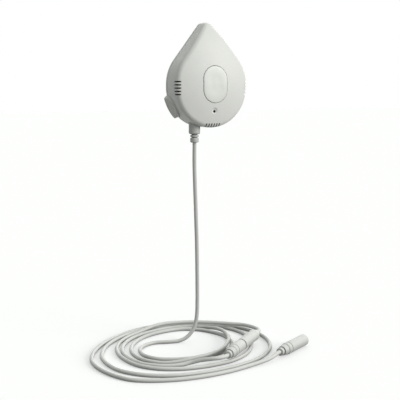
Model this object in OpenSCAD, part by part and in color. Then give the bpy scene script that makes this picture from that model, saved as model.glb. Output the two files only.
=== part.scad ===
// Water leak sensor for a wall, with a plug-in lead and a looped sensing cord on the floor.
// Wall plane at y = 0, front toward -Y, +Z up, origin at the centre of the round part of the back.

/* [Housing] */
// Width across the round part
body_w = 67; // [66:1:76]
// Height from the bottom to the top of the point
body_h = 86; // [84:1:94]
// Depth from the wall to the middle of the front
body_d = 25; // [25:0.5:28]
// Radius of the rounded point
tip_r = 5; // [4.5:0.5:8]
// How far the sides run straight up to the shoulders
shoulder_h = 1.5; // [1:0.5:3.5]
// Radius of the domed front
dome_r = 110; // [100:5:160]
// Rounding between front and side wall
rim_r = 3.2; // [3:0.1:4.9]
// Wall of the front shell
wall_t = 2; // [1.8:0.1:2.4]

/* [Rear cover] */
// Thickness of the cover plate
cover_t = 1.8; // [1.4:0.1:2]
// Depth of the seam between cover and shell
seam_d = 3; // [2.4:0.2:3.2]
// How far the cover's lip reaches into the shell
lip_d = 6.5; // [5:0.5:8]
// Thickness of the lip
lip_t = 1.4; // [1:0.1:1.8]
// Clearance between lip and shell
lip_gap = 0.3; // [0.25:0.05:0.5]
// Radius of the keyhole's entry
key_entry_r = 3.5; // [3:0.25:4]
// Half width of the keyhole's slot
key_slot_r = 1.9; // [1.5:0.1:2]
// Height of the keyhole's entry
key_v = 31; // [30:0.5:33]
// How far the keyhole's slot runs up
key_run = 5; // [4:0.5:6]

/* [Release tabs] */
// Angle of the tabs below level
tab_angle = 30; // [29:1:34]
// Radius of the half-moon pad
tab_r = 10.75; // [10.5:0.25:11.5]
// How far the pad stands out of the wall
tab_proud = 3.5; // [3:0.1:3.8]
// Thickness of the pad
tab_t = 5.5; // [5.2:0.1:5.8]
// How far the pad's edge slopes in
tab_slope = 2; // [1.5:0.1:2.5]
// Gap around the pad
tab_gap = 0.3; // [0.25:0.05:0.5]
// Travel of the tabs
tab_travel = 1; // [0.6:0.1:1.2]
// Radius of the tab's guide post
post_r = 1.6; // [1.3:0.1:1.8]
// Depth of the guide post's axis
post_d = 5; // [4.6:0.1:5.4]

/* [Front button] */
// Width of the button
button_w = 22; // [18:0.5:23]
// Height of the button
button_h = 30; // [26:0.5:30]
// Height of the button's centre
button_v = 2; // [-1:0.5:2.5]
// Gap around the button
button_gap = 0.3; // [0.25:0.05:0.5]
// How far the button stands above the dome
button_proud = 0.3; // [0:0.1:0.6]
// Travel of the button
button_travel = 0.8; // [0.4:0.1:0.8]

/* [Vents and light] */
// Slots on each side
vent_n = 5; // [3:1:6]
// Spacing of the side slots
vent_pitch = 2.6; // [2.4:0.1:3]
// Height of a side slot
vent_h = 1.1; // [0.8:0.1:1.2]
// Height of the middle side slot
vent_v = -1; // [-4:0.5:-1]
// Depth at which the side slots begin
vent_d = 15.5; // [13:0.5:16.5]
// Sounder slots at the bottom
sound_n = 6; // [4:1:7]
// Spacing of the sounder slots
sound_pitch = 2.4; // [2:0.1:2.6]
// Width of a sounder slot
sound_w = 1.2; // [0.8:0.1:1.3]
// Depth at which the sounder slots begin
sound_d = 15; // [14.5:0.25:16]
// Height of the light's pinhole
light_v = -20; // [-22:0.5:-19.5]
// Radius of the pinhole
light_r = 1.2; // [0.8:0.05:1.25]
// Radius of the dish around the pinhole
dish_r = 2.6; // [2.2:0.1:2.8]
// Depth of the dish
dish_t = 0.8; // [0.5:0.1:0.9]

/* [Board] */
// Thickness of the board
board_t = 1.6; // [1.2:0.1:1.6]
// Room between board and shell
board_room = 3; // [2.5:0.25:4]
// Height of the board's straight top edge
board_top = 1.6; // [1:0.1:2]
// Radius of a screw's shank
screw_r = 0.9; // [0.8:0.05:1]
// Radius of a screw's head
screw_head_r = 2.1; // [1.8:0.1:2.3]

/* [Battery] */
// Depth of the housing less the cell's diameter
cell_depth_room = 8; // [8:0.1:9]
// Width of the housing less the cell's length
cell_side_room = 34.8; // [34:0.2:38]
// Clearance between cell and cover
cell_back_gap = 0.4; // [0.3:0.1:0.6]
// Wall of the cradle
cradle_t = 1.5; // [1.2:0.1:1.6]

/* [Plug and cords] */
// Sideways place of the port
port_x = -11.25; // [-12.5:0.25:-11]
// Depth of the port's axis
port_d = 8.9; // [8.8:0.1:9.4]
// Radius of the plug's collar
collar_r = 4.8; // [4.4:0.1:4.9]
// Gap between collar and port
port_gap = 0.35; // [0.3:0.05:0.5]
// Radius of the jack pin
pin_r = 1.72; // [1.6:0.02:1.74]
// Radius of a socket's bore
bore_r = 1.8; // [1.78:0.02:2]
// Length of a jack pin
pin_l = 14; // [12:0.5:14]
// Radius of the connectors' barrels
barrel_r = 4.85; // [4.4:0.05:4.9]
// Radius of the cords
cord_r = 1.65; // [1.5:0.05:1.8]
// Height of the origin above the floor
floor_h = 217.5; // [215:0.5:260]

/* [Hidden] */
$fn = 96;
fine = 360;
big_r = body_w / 2;
tip_v = body_h - big_r - tip_r;
slope = asin((big_r - tip_r) / (tip_v - shoulder_h));
shell_gap = 0.3;
shell_d = seam_d + shell_gap;
arc_steps = 44;
shoulder_steps = 9;
edge_steps = 10;
tip_steps = 14;
rim_steps = 5;
in_rim_steps = 3;
dome_steps = 5;
in_dome_steps = 3;
jack_front = 3.3;
board_d = port_d + jack_front;
board_r = big_r - wall_t - board_room;
board_front = board_d + board_t;
cell_r = (body_d - cell_depth_room) / 2;
cell_l = body_w - cell_side_room;
cell_d = cover_t + cell_back_gap + cell_r;
press_clear = 0.05;
// places of the board's and the cradle's screws
side_inset = 6.5;
side_v = -3.5;
low_inset = 3;
low_x = 4;
ear_out = 7.4;
ear_v = 11;
board_spots = [[side_inset - board_r, side_v], [board_r - side_inset, side_v], [low_x, low_inset - board_r]];
cradle_spots = [[-cell_l / 2 - ear_out, ear_v], [cell_l / 2 + ear_out, ear_v]];
boss_r = 2.6;
boss_bore_l = 4.2;
pilot_r = screw_r + press_clear;
hole_gap = 0.3;
head_t = 1.3;
shank_l = 5;
ear_r = 2.8;
// release tabs
pad_in = big_r + tab_proud - tab_t;
pad_edge = 0.6;
// inner end of the opening for a pressed pad
tab_cut = sqrt(pad_in * pad_in - tab_r * tab_r) - tab_travel - tab_gap;
guide_l = 3;
guide_out = tab_cut - press_clear;
guide_in = guide_out - guide_l;
guide_w = 6;
guide_top = 8;
stop_r = 2.3;
stop_t = 1;
stop_gap = 0.25;
spring_wire = 0.2;
spring_r = post_r + 0.8;
spring_turns = 2.5;
spring_gap = 0.1;
// front button and its switch
button_r = button_w / 2;
button_mid = button_h / 2 - button_r;
button_t = 3.8;
button_floor = body_d - button_t;
wing_out = 1.6;
wing_h = 8;
wing_v = -4;
wing_t = 1.1;
switch_v = -3.4;
switch_w = 6;
plunger_r = 1.5;
plunger_gap = 0.2;
plunger_out = 1;
// switch and plunger share the room behind the button
wing_sink = 0.4;
wing_floor = button_floor - wing_t + wing_sink;
switch_t = 0.6 * (wing_floor - board_front - plunger_out);
plunger_in = 0.35 * switch_t;
stem_r = 2.2;
// light
led_w = 1.6;
led_t = 0.7;
pipe_gap = 0.15;
pipe_r = light_r - pipe_gap;
pipe_flange_r = light_r + 0.6;
pipe_flange_t = 1;
pipe_sink = 0.2;
// parts on the board
sounder_r = 8;
sounder_hole_r = 1.2;
sounder_spot = [13, -14.5];
sounder_room = 2.1;
radio_w = 12;
radio_h = 16;
radio_board_t = 0.8;
radio_t = 2.6;
radio_spot = [-13.5, -13.5];
radio_rim = 0.8;
climate_w = 3;
climate_t = 1;
climate_inset = 3.5;
climate_v = -8.5;
climate_spot = [climate_inset - board_r, climate_v];
jack_w = 8.6;
jack_inset = 8;
jack_l = 12.4;
jack_bottom = jack_inset - big_r;
jack_top = jack_bottom + jack_l;
jack_back = 4.6;
neck_r = 3.2;
neck_inset = 5;
neck_end = neck_inset - big_r;
probe_spots = [[-8, -8.5], [8, -8.5], [0, -19.5]];
probe_r = 1.5;
probe_head_r = 2.4;
probe_head_t = 0.8;
probe_sink = 0.4;
probe_gap = 0.05;
well_r = 3;
spring_pin_r = 1.2;
spring_tip_r = 0.6;
spring_pin_l = 5.5;
// battery
cell_cap_r = 3.2;
cell_cap_l = 1.3;
cell_clear = 0.2;
cradle_lift = 1.8;
cell_v = board_top + cradle_lift + cradle_t + cell_clear + cell_r;
coil_l = 2.4;
cradle_back = 7;
cradle_room = 0.3;
cradle_front = button_floor - button_travel - cradle_room;
cradle_gap = 0.9;
contact_t = 0.5;
contact_r = 7.5;
contact_room = 0.6;
stack_l = 2 * contact_t + coil_l + cell_l + cell_cap_l;
cell_x = contact_t + coil_l - stack_l / 2;
coil_wire = 0.3;
coil_turns = 2;
coil_base_r = 4.5;
coil_tip_r = 3;
// plug under the housing: heights of its steps, with their radii
relief_r = 3.6;
groove_r = 2.5;
collar_out = 5.5;
collar_end = -big_r - collar_out;
collar_chamfer = 0.9;
relief_l = 7;
plug_end = collar_end - relief_l;
// connectors
nub_r = 3.2;
nub_l = 3;
waist_r = 2.2;
waist_l = 0.8;
cone_r = 3.8;
cone_end_r = 4.5;
groove_in_r = 3.9;
groove_l = 0.7;
barrel_from = 10;
ring_from = 13.5;
ring_t = 0.5;
seam_l = 1.2;
seam_t = 1.5;
edge_r = 0.8;
inline_socket_l = 29;
inline_plug_l = 35;
plug_neck_r = 3.4;
plug_taper_l = 5;
end_socket_l = 41.5;
socket_depth = 15;
pin_tip_l = 1.6;
pin_tip_r = 0.9;
inline_lift = 0.35;
inline_h = 2 * cord_r + barrel_r + inline_lift;
inline_at = [-18.5, -76.3, inline_h - floor_h];
inline_yaw = 37;
end_at = [28.1, -80.5, barrel_r - floor_h];
end_yaw = 26;
// cords on the floor: stations of angle, reach from the coil's middle, and lift above the floor
coil_mid = [-26.9, -24.5];
cord_sides = 8;
ring_step = 7;
straight = 2 * cord_r + 0.2;
drop_dir = -15;
// sideways bow and height above the floor of the hanging stretch
drop_route = [[0, 150], [1, 118], [2, 84], [2.4, 52], [2.4, 34], [2, 24], [0.4, 15], [-3, 8.5], [-8, 4], [-14, 1.9]];
drop_landing = -21;
lead_stations = [
    [126, 31, 0], [142, 36, 0], [160, 39.5, 0], [182, 40.5, 0], [202, 38, 0],
    [222, 33, 0], [246, 29, 0], [270, 28, 0], [292, 29.5, 0], [314, 33, 0], [336, 37, 0],
    [356, 41, 0], [376, 45.5, 0], [392, 49, 0], [410, 53, 0], [427, 54, 0], [446, 51, 0],
    [466, 48.5, 0], [486, 47, 0], [508, 46.5, 0], [530, 47, 0], [552, 47.5, 0], [574, 45, 0],
    [594, 41, 1.2], [612, 37.8, 3.4], [626, 36.4, 4], [638, 35.1, 4], [651, 34, 4], [668, 32.8, 4],
    [685, 32.8, 4], [699, 34.8, 4], [709, 37, 4], [719, 39.6, 4], [729, 42.8, 4], [739, 46.8, 4],
    [746, 50.2, 3.4], [754, 54.8, 2.3], [763, 59.6, 0.8], [771, 61.8, 0.1], [780, 62.4, 0], [798, 60, 0], [816, 56, 0], [834, 54.5, 0], [854, 54, 0], [876, 54, 0], [898, 54.5, 0],
    [920, 54.5, 0], [938, 51.5, 0], [953, 48.2, 0.6], [965, 46, 2.2]];
// stretches between the loops and the connectors: place on the floor, and share of the connector's height
lead_approach = [[-40, -70.8, 0.72], [-34, -76.3, 0.92], [-28, -79.2, 1]];
sensing_leave = [[42.9, -26.4, 0.85], [45.4, -14.5, 0.73]];
sensing_stations = [
    [18, 72.2, 4.4], [27.5, 68, 4.3], [36, 65.3, 4.3], [45, 63.6, 4.3], [56, 62.4, 4.3], [68, 61.6, 4.2],
    [80, 61.2, 4.2], [90, 60.9, 3.4], [100, 60.4, 1.6], [112, 59.8, 0.2], [124, 59.4, 0], [140, 59, 0],
    [158, 58.5, 0], [178, 58.5, 0],
    [200, 59.5, 0], [218, 58, 0], [236, 54.5, 0], [254, 51, 0], [272, 49.5, 0], [290, 50, 0],
    [310, 51, 0], [330, 53, 0], [348, 57, 0], [366, 62, 0], [382, 66, 0], [398, 68, 0],
    [416, 68, 0], [434, 66.3, 0], [452, 65, 0], [472, 64.4, 0], [492, 65.4, 0], [512, 68.6, 0],
    [534, 73.5, 0], [556, 77, 0], [574, 75.5, 0], [592, 70.5, 0], [610, 65, 0], [630, 62, 0],
    [650, 62.5, 0], [670, 65.5, 0], [690, 69, 0], [708, 72, 0], [724, 74, 0], [740, 74.6, 0],
    [756, 73.8, 0], [774, 73, 0], [792, 71.2, 0], [812, 69.5, 0], [832, 68.7, 0], [852, 69.8, 0],
    [863, 71.9, 0], [874, 75, 0], [886, 79.4, 0], [898, 83.6, 0], [910, 86.2, 0], [922, 88, 0],
    [932, 88.6, 0], [940, 86.2, 0], [949, 81.9, 0], [958, 77.8, 0], [967, 74.1, 0], [976, 71.2, 0],
    [985, 69.2, 0], [994, 68.1, 0], [1010, 69, 0.4]];
sensing_arrive = [[14.1, -86.5, 0.66]];

// depth of the domed front at a place on it
function dome(x, v) = body_d - dome_r + sqrt(dome_r * dome_r - x * x - v * v);

// points of the pointed outline, moved inward by an inset
function drop_points(inset) =
    let (r = big_r - inset, t = tip_r - inset)
    let (flank_from = shoulder_h + r * sin(slope), flank_to = tip_v + t * sin(slope))
    concat(
        [for (i = [0:shoulder_steps])
            let (a = slope * (1 - i / shoulder_steps))
            [r * cos(a), shoulder_h + r * sin(a)]],
        [for (i = [0:arc_steps]) let (a = -180 * i / arc_steps) [r * cos(a), r * sin(a)]],
        [for (i = [0:shoulder_steps])
            let (a = 180 - slope * i / shoulder_steps)
            [r * cos(a), shoulder_h + r * sin(a)]],
        [for (i = [1:edge_steps - 1])
            let (f = i / edge_steps)
            [-(r + (t - r) * f) * cos(slope), flank_from * (1 - f) + flank_to * f]],
        [for (i = [0:tip_steps])
            let (a = 180 - slope - i * (180 - 2 * slope) / tip_steps)
            [t * cos(a), tip_v + t * sin(a)]],
        [for (i = [1:edge_steps - 1])
            let (f = 1 - i / edge_steps)
            [(r + (t - r) * f) * cos(slope), flank_from * (1 - f) + flank_to * f]]);

// one ring of a dome's skin: inset from the outline, drawn in by a scale, lowered into the shell
function skin_ring(inset, s, lower, fall) =
    [for (p = drop_points(inset)) [p[0] * s, p[1] * s, dome(p[0] * s, p[1] * s) - lower - fall]];

// rings of a domed skin from the rear edge to near the pole
function skin(start, lower, rim, steps, rings) = concat(
    [[for (p = drop_points(start)) [p[0], p[1], shell_d]]],
    [for (k = [0:steps])
        let (a = 90 * k / steps)
        skin_ring(start + rim * (1 - cos(a)), 1, lower, rim * (1 - sin(a)))],
    [for (k = [1:rings - 1]) skin_ring(start + rim, 1 - k / rings, lower, 0)]);

module shell_skin() {
    outer = skin(0, 0, rim_r, rim_steps, dome_steps);
    inner = skin(wall_t, wall_t, rim_r - wall_t, in_rim_steps, in_dome_steps);
    n = len(outer[0]);
    no = len(outer);
    ni = len(inner);
    pole_o = n * (no + ni);
    pole_i = pole_o + 1;
    points = concat([for (r = outer) each r], [for (r = inner) each r],
        [[0, 0, dome(0, 0)], [0, 0, dome(0, 0) - wall_t]]);
    faces = concat(
        [for (k = [0:no - 2]) for (i = [0:n - 1]) let (j = (i + 1) % n)
            each [[k * n + i, k * n + j, (k + 1) * n + j], [k * n + i, (k + 1) * n + j, (k + 1) * n + i]]],
        [for (i = [0:n - 1]) [(no - 1) * n + i, (no - 1) * n + (i + 1) % n, pole_o]],
        [for (k = [0:ni - 2]) for (i = [0:n - 1]) let (j = (i + 1) % n, b = no + k)
            each [[b * n + j, b * n + i, (b + 1) * n + j], [(b + 1) * n + j, b * n + i, (b + 1) * n + i]]],
        [for (i = [0:n - 1]) [(no + ni - 1) * n + (i + 1) % n, (no + ni - 1) * n + i, pole_i]],
        [for (i = [0:n - 1]) let (j = (i + 1) % n)
            each [[i, no * n + i, no * n + j], [i, no * n + j, j]]]);
    polyhedron(points, faces);
}

// local frame of the housing: x across, y up, z out from the wall
module stand() {
    rotate([90, 0, 0]) children();
}

module drop2d(inset) {
    r = big_r - inset;
    t = tip_r - inset;
    flank_from = shoulder_h + r * sin(slope);
    flank_to = tip_v + t * sin(slope);
    circle(r);
    translate([0, shoulder_h]) circle(r);
    translate([-r, 0]) square([2 * r, shoulder_h]);
    translate([0, tip_v]) circle(t);
    polygon([[r * cos(slope), flank_from], [t * cos(slope), flank_to],
        [-t * cos(slope), flank_to], [-r * cos(slope), flank_from]]);
}

module obround2d(r, mid) {
    translate([0, mid]) circle(r);
    translate([0, -mid]) circle(r);
    translate([-r, -mid]) square([2 * r, 2 * mid]);
}

// turns a piece drawn along +Z so that it points out of the wall at a tab
module toward(side) {
    rotate([0, 0, side > 0 ? -tab_angle : 180 + tab_angle]) rotate([0, 90, 0]) children();
}

// half-moon prism through the wall at a tab
module half_moon(side, r, from, to) {
    toward(side) translate([0, 0, from]) cylinder(r = r, h = to - from);
}

// tube swept along points, its rings set square to the route
function unit(v) = v / norm(v);
function tube_ring(p, t, ref, r, sides) =
    let (s = unit(cross(ref, t)), u = cross(t, s))
    [for (k = [0:sides - 1]) p + r * (cos(360 * k / sides) * s + sin(360 * k / sides) * u)];
function heading(pts, i) =
    i == 0 ? unit(pts[1] - pts[0]) :
    i == len(pts) - 1 ? unit(pts[i] - pts[i - 1]) :
    unit(unit(pts[i + 1] - pts[i]) + unit(pts[i] - pts[i - 1]));

module tube(pts, ref, r, sides) {
    n = len(pts);
    rings = [for (i = [0:n - 1]) each tube_ring(pts[i], heading(pts, i), ref, r, sides)];
    sheath = [for (i = [0:n - 2]) for (k = [0:sides - 1])
        let (j = (k + 1) % sides)
        each [[i * sides + k, (i + 1) * sides + k, (i + 1) * sides + j],
            [i * sides + k, (i + 1) * sides + j, i * sides + j]]];
    ends = [for (k = [1:sides - 2])
        each [[0, k, k + 1], [(n - 1) * sides, (n - 1) * sides + k + 1, (n - 1) * sides + k]]];
    polyhedron(rings, concat(sheath, ends));
}

// smooth curve through stations, with rings about one step apart
function bend(a, b, c, d, f) =
    0.5 * (2 * b + (c - a) * f + (2 * a - 5 * b + 4 * c - d) * f * f + (3 * b - a - 3 * c + d) * f * f * f);
function smooth(p, step) = concat(
    [for (i = [0:len(p) - 2])
        let (a = p[max(i - 1, 0)], b = p[i], c = p[i + 1], d = p[min(i + 2, len(p) - 1)])
        let (m = max(1, round(norm(c - b) / step)))
        for (k = [0:m - 1]) bend(a, b, c, d, k / m)],
    [p[len(p) - 1]]);
function on_floor(st) =
    [coil_mid[0] + st[1] * cos(st[0]), coil_mid[1] + st[1] * sin(st[0]), st[2] + cord_r - floor_h];
function along(at, yaw, s) = at + s * [cos(yaw), sin(yaw), 0];
function lifted(p, h) = [p[0], p[1], p[2] * h - floor_h];
function resting(p) = [for (q = p) [q[0], q[1], max(q[2], cord_r - floor_h)]];
function length_of(p) = len(p) < 2 ? 0 : [for (i = [1:len(p) - 1]) norm(p[i] - p[i - 1])] * [for (i = [1:len(p) - 1]) 1];
function self_gap(p, apart) =
    min([for (i = [0:len(p) - 1 - apart]) for (j = [i + apart:len(p) - 1]) norm(p[i] - p[j])]) - 2 * cord_r;

plug_at = [port_x, -port_d, plug_end];
landing = [port_x + drop_landing * cos(drop_dir), -port_d + drop_landing * sin(drop_dir), cord_r - floor_h];
drop_points3 = concat(
    [plug_at, plug_at - [0, 0, straight]],
    smooth([for (d = drop_route)
        [port_x + d[0] * cos(drop_dir), -port_d + d[0] * sin(drop_dir), d[1] - floor_h]], ring_step),
    [landing + straight * [cos(drop_dir), sin(drop_dir), 0], landing]);
lead_in = along(inline_at, inline_yaw, -straight);
lead_points = concat(
    [landing],
    resting(smooth(concat([landing - straight * [cos(drop_dir), sin(drop_dir), 0]],
        [for (s = lead_stations) on_floor(s)], [for (p = lead_approach) lifted(p, inline_h)], [lead_in]), ring_step)),
    [inline_at]);
inline_end = along(inline_at, inline_yaw, inline_socket_l + inline_plug_l);
sensing_points = concat(
    [inline_end],
    resting(smooth(concat([along(inline_end, inline_yaw, straight)], [for (p = sensing_leave) lifted(p, inline_h)],
        [for (s = sensing_stations) on_floor(s)], [for (p = sensing_arrive) lifted(p, barrel_r)],
        [along(end_at, end_yaw, -straight)]), ring_step)),
    [end_at]);
echo(drop_length = length_of(drop_points3), lead_coil_length = length_of(lead_points),
    sensing_length = length_of(sensing_points));
echo(lead_gap = self_gap(lead_points, 6), sensing_gap = self_gap(sensing_points, 6));

module keyhole2d() {
    translate([0, key_v]) circle(key_entry_r);
    translate([0, key_v + key_run]) circle(key_slot_r);
    translate([-key_slot_r, key_v]) square([2 * key_slot_r, key_run]);
}

module tab_guide(side) {
    toward(side) translate([-guide_top, -guide_w / 2, guide_in])
        cube([guide_top - cover_t + press_clear, guide_w, guide_out - guide_in]);
}

module rear_cover() {
    lip_out = wall_t + lip_gap;
    port_cut = collar_r + 1.4;
    color([0.84, 0.85, 0.83]) stand() difference() {
        union() {
            linear_extrude(cover_t) drop2d(0);
            linear_extrude(seam_d) difference() {
                drop2d(0);
                drop2d(lip_out + lip_t);
            }
            linear_extrude(lip_d) difference() {
                drop2d(lip_out);
                drop2d(lip_out + lip_t);
            }
            tab_guide(-1);
            tab_guide(1);
        }
        translate([0, 0, -1]) linear_extrude(cover_t + 2) keyhole2d();
        for (p = probe_spots) {
            translate([p[0], p[1], -1]) cylinder(r = probe_r + probe_gap, h = cover_t + 2);
            translate([p[0], p[1], -1]) cylinder(r = well_r, h = 1 + probe_sink);
        }
        translate([port_x - port_cut, -big_r, seam_d]) cube([2 * port_cut, big_r / 2, lip_d]);
        for (side = [-1, 1]) {
            half_moon(side, tab_r + tab_gap, tab_cut, big_r + 2);
            toward(side) translate([-post_d, 0, guide_in - 1])
                cylinder(r = post_r + hole_gap / 2, h = guide_out - guide_in + 2);
        }
    }
}

module sense_probes() {
    color([0.83, 0.7, 0.38]) stand() for (p = probe_spots) translate([p[0], p[1], 0]) {
        translate([0, 0, probe_sink]) cylinder(r = probe_r, h = cover_t + probe_head_t - probe_sink);
        translate([0, 0, cover_t]) cylinder(r = probe_head_r, h = probe_head_t);
    }
}

module release_tab(side) {
    stop_from = guide_in - stop_gap - stop_t;
    edge_from = sqrt(big_r * big_r - tab_r * tab_r);
    color([0.8, 0.81, 0.79]) stand() {
        intersection() {
            union() {
                half_moon(side, tab_r, pad_in / 2, edge_from);
                toward(side) translate([0, 0, edge_from])
                    cylinder(r1 = tab_r, r2 = tab_r - tab_slope, h = big_r + tab_proud - edge_from);
            }
            translate([0, 0, pad_edge]) difference() {
                cylinder(r = big_r + tab_proud, h = 2 * tab_r);
                translate([0, 0, -1]) cylinder(r = pad_in, h = 2 * tab_r + 2);
            }
        }
        toward(side) translate([-post_d, 0, stop_from]) {
            cylinder(r = post_r, h = pad_in + 1 - stop_from);
            cylinder(r = stop_r, h = stop_t);
        }
    }
}

module left_release_tab() {
    release_tab(-1);
}

module right_release_tab() {
    release_tab(1);
}

module helix(base_r, top_r, from, to, turns, wire) {
    steps = turns * 10;
    pts = [for (i = [0:steps])
        let (f = i / steps, a = 360 * turns * f, r = base_r + (top_r - base_r) * f)
        [r * cos(a), r * sin(a), from + wire + (to - from - 2 * wire) * f]];
    tube(pts, [0, 0, 1], wire, 6);
}

module tab_spring(side) {
    reach = spring_r + spring_wire;
    seat = sqrt(pad_in * pad_in - reach * reach) - spring_gap;
    color([0.7, 0.7, 0.72]) stand() toward(side) translate([-post_d, 0, 0])
        helix(spring_r, spring_r, guide_out, seat, spring_turns, spring_wire);
}

module left_tab_spring() {
    tab_spring(-1);
}

module right_tab_spring() {
    tab_spring(1);
}

module boss(p) {
    translate([p[0], p[1], board_front]) cylinder(r = boss_r, h = dome(p[0], p[1]) - wall_t / 2 - board_front);
}

module front_shell() {
    vent_len = body_d;
    sound_from = -(sound_n - 1) / 2;
    vent_from = -(vent_n - 1) / 2;
    dish_sphere = (dish_r * dish_r + dish_t * dish_t) / (2 * dish_t);
    light_d = dome(0, light_v);
    color([0.9, 0.9, 0.88]) stand() difference() {
        union() {
            shell_skin();
            for (p = board_spots) boss(p);
            for (p = cradle_spots) boss(p);
        }
        for (p = concat(board_spots, cradle_spots))
            translate([p[0], p[1], board_front - 1]) cylinder(r = pilot_r, h = boss_bore_l + 1);
        translate([0, button_v, button_floor - wing_t - 1]) linear_extrude(body_d)
            obround2d(button_r + button_gap, button_mid);
        translate([0, light_v, board_front]) cylinder(r = light_r, h = body_d);
        translate([0, light_v, light_d - dish_t + dish_sphere]) sphere(r = dish_sphere);
        for (side = [-1, 1]) {
            half_moon(side, tab_r + tab_gap, tab_cut, big_r + 2);
            for (k = [0:vent_n - 1])
                translate([side > 0 ? big_r - wall_t - 1.8 : -big_r - 1,
                    vent_v + (vent_from + k) * vent_pitch - vent_h / 2, vent_d])
                    cube([wall_t + 2.8, vent_h, vent_len]);
        }
        for (k = [0:sound_n - 1])
            translate([(sound_from + k) * sound_pitch - sound_w / 2, -big_r - 1, sound_d])
                cube([sound_w, wall_t + 2.6, vent_len]);
        translate([port_x, -big_r - 2, port_d]) rotate([-90, 0, 0])
            cylinder(r = collar_r + port_gap, h = 2 + big_r / 2);
    }
}

module front_button() {
    stem_from = board_front + switch_t + plunger_out;
    color([0.87, 0.88, 0.86]) stand() {
        intersection() {
            translate([0, button_v, button_floor]) linear_extrude(body_d)
                obround2d(button_r, button_mid);
            translate([0, 0, body_d - dome_r]) sphere(r = dome_r + button_proud, $fn = fine);
        }
        translate([-button_r - wing_out, wing_v - wing_h / 2, wing_floor])
            cube([2 * (button_r + wing_out), wing_h, wing_t]);
        translate([0, switch_v, stem_from]) cylinder(r = stem_r, h = button_floor + 1 - stem_from);
    }
}

module switch_plunger() {
    from = board_front + switch_t - plunger_in;
    color([0.15, 0.15, 0.16]) stand() translate([0, switch_v, from])
        cylinder(r = plunger_r, h = plunger_in + plunger_out);
}

module tact_switch() {
    color([0.2, 0.2, 0.21]) stand() translate([0, switch_v, board_front]) difference() {
        translate([-switch_w / 2, -switch_w / 2, 0]) cube([switch_w, switch_w, switch_t]);
        translate([0, 0, switch_t - plunger_in - button_travel - plunger_gap])
            cylinder(r = plunger_r + plunger_gap, h = switch_t);
    }
}

module main_board() {
    color([0.1, 0.36, 0.2]) stand() translate([0, 0, board_d]) linear_extrude(board_t) difference() {
        circle(board_r);
        translate([-board_r, board_top]) square([2 * board_r, board_r]);
        for (p = board_spots) translate(p) circle(screw_r + hole_gap);
    }
}

module screw(p) {
    translate([p[0], p[1], board_d - head_t]) {
        cylinder(r = screw_head_r, h = head_t);
        cylinder(r = screw_r, h = head_t + shank_l);
    }
}

module board_screws() {
    color([0.62, 0.63, 0.65]) stand() for (p = board_spots) screw(p);
}

module cradle_screws() {
    color([0.62, 0.63, 0.65]) stand() for (p = cradle_spots) screw(p);
}

module radio_module() {
    color([0.7, 0.71, 0.72]) stand() translate([radio_spot[0] - radio_w / 2, radio_spot[1] - radio_h / 2, board_front]) {
        cube([radio_w, radio_h, radio_board_t]);
        translate([radio_rim, radio_rim, 0]) cube([radio_w - 2 * radio_rim, radio_h - 5 * radio_rim, radio_t]);
    }
}

module piezo_sounder() {
    far = norm(sounder_spot) + sounder_r;
    sounder_t = dome(0, far) - wall_t - board_front - sounder_room;
    color([0.12, 0.12, 0.13]) stand() translate([sounder_spot[0], sounder_spot[1], board_front]) difference() {
        cylinder(r = sounder_r, h = sounder_t);
        translate([0, 0, sounder_t / 2]) cylinder(r = sounder_hole_r, h = sounder_t);
    }
}

module climate_sensor() {
    color([0.85, 0.85, 0.85]) stand()
        translate([climate_spot[0] - climate_w / 2, climate_spot[1] - climate_w / 2, board_front])
        cube([climate_w, climate_w, climate_t]);
}

module status_led() {
    color([0.95, 0.92, 0.7]) stand() translate([-led_w / 2, light_v - led_w / 2, board_front])
        cube([led_w, led_w, led_t]);
}

module light_pipe() {
    from = board_front + led_t + pipe_gap;
    flange = dome(0, abs(light_v) + pipe_flange_r) - wall_t - pipe_gap - pipe_flange_t;
    color([0.9, 0.93, 0.95]) stand() translate([0, light_v, 0]) {
        translate([0, 0, from]) cylinder(r = pipe_r, h = dome(0, light_v) - dish_t - pipe_sink - from);
        translate([0, 0, flange]) cylinder(r = pipe_flange_r, h = pipe_flange_t);
    }
}

module probe_pins() {
    tip = cover_t + probe_head_t + press_clear;
    color([0.85, 0.72, 0.4]) stand() for (p = probe_spots) translate([p[0], p[1], 0]) {
        translate([0, 0, board_d - spring_pin_l]) cylinder(r = spring_pin_r, h = spring_pin_l);
        translate([0, 0, tip]) cylinder(r = spring_tip_r, h = board_d - tip);
    }
}

module jack_socket() {
    color([0.16, 0.16, 0.17]) stand() difference() {
        union() {
            translate([port_x - jack_w / 2, jack_bottom, jack_back])
                cube([jack_w, jack_top - jack_bottom, board_d - jack_back]);
            translate([port_x, neck_end, port_d]) rotate([-90, 0, 0])
                cylinder(r = neck_r, h = jack_bottom - neck_end + 1);
        }
        translate([port_x, neck_end - 1, port_d]) rotate([-90, 0, 0])
            cylinder(r = bore_r, h = pin_l + 1.4);
    }
}

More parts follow.
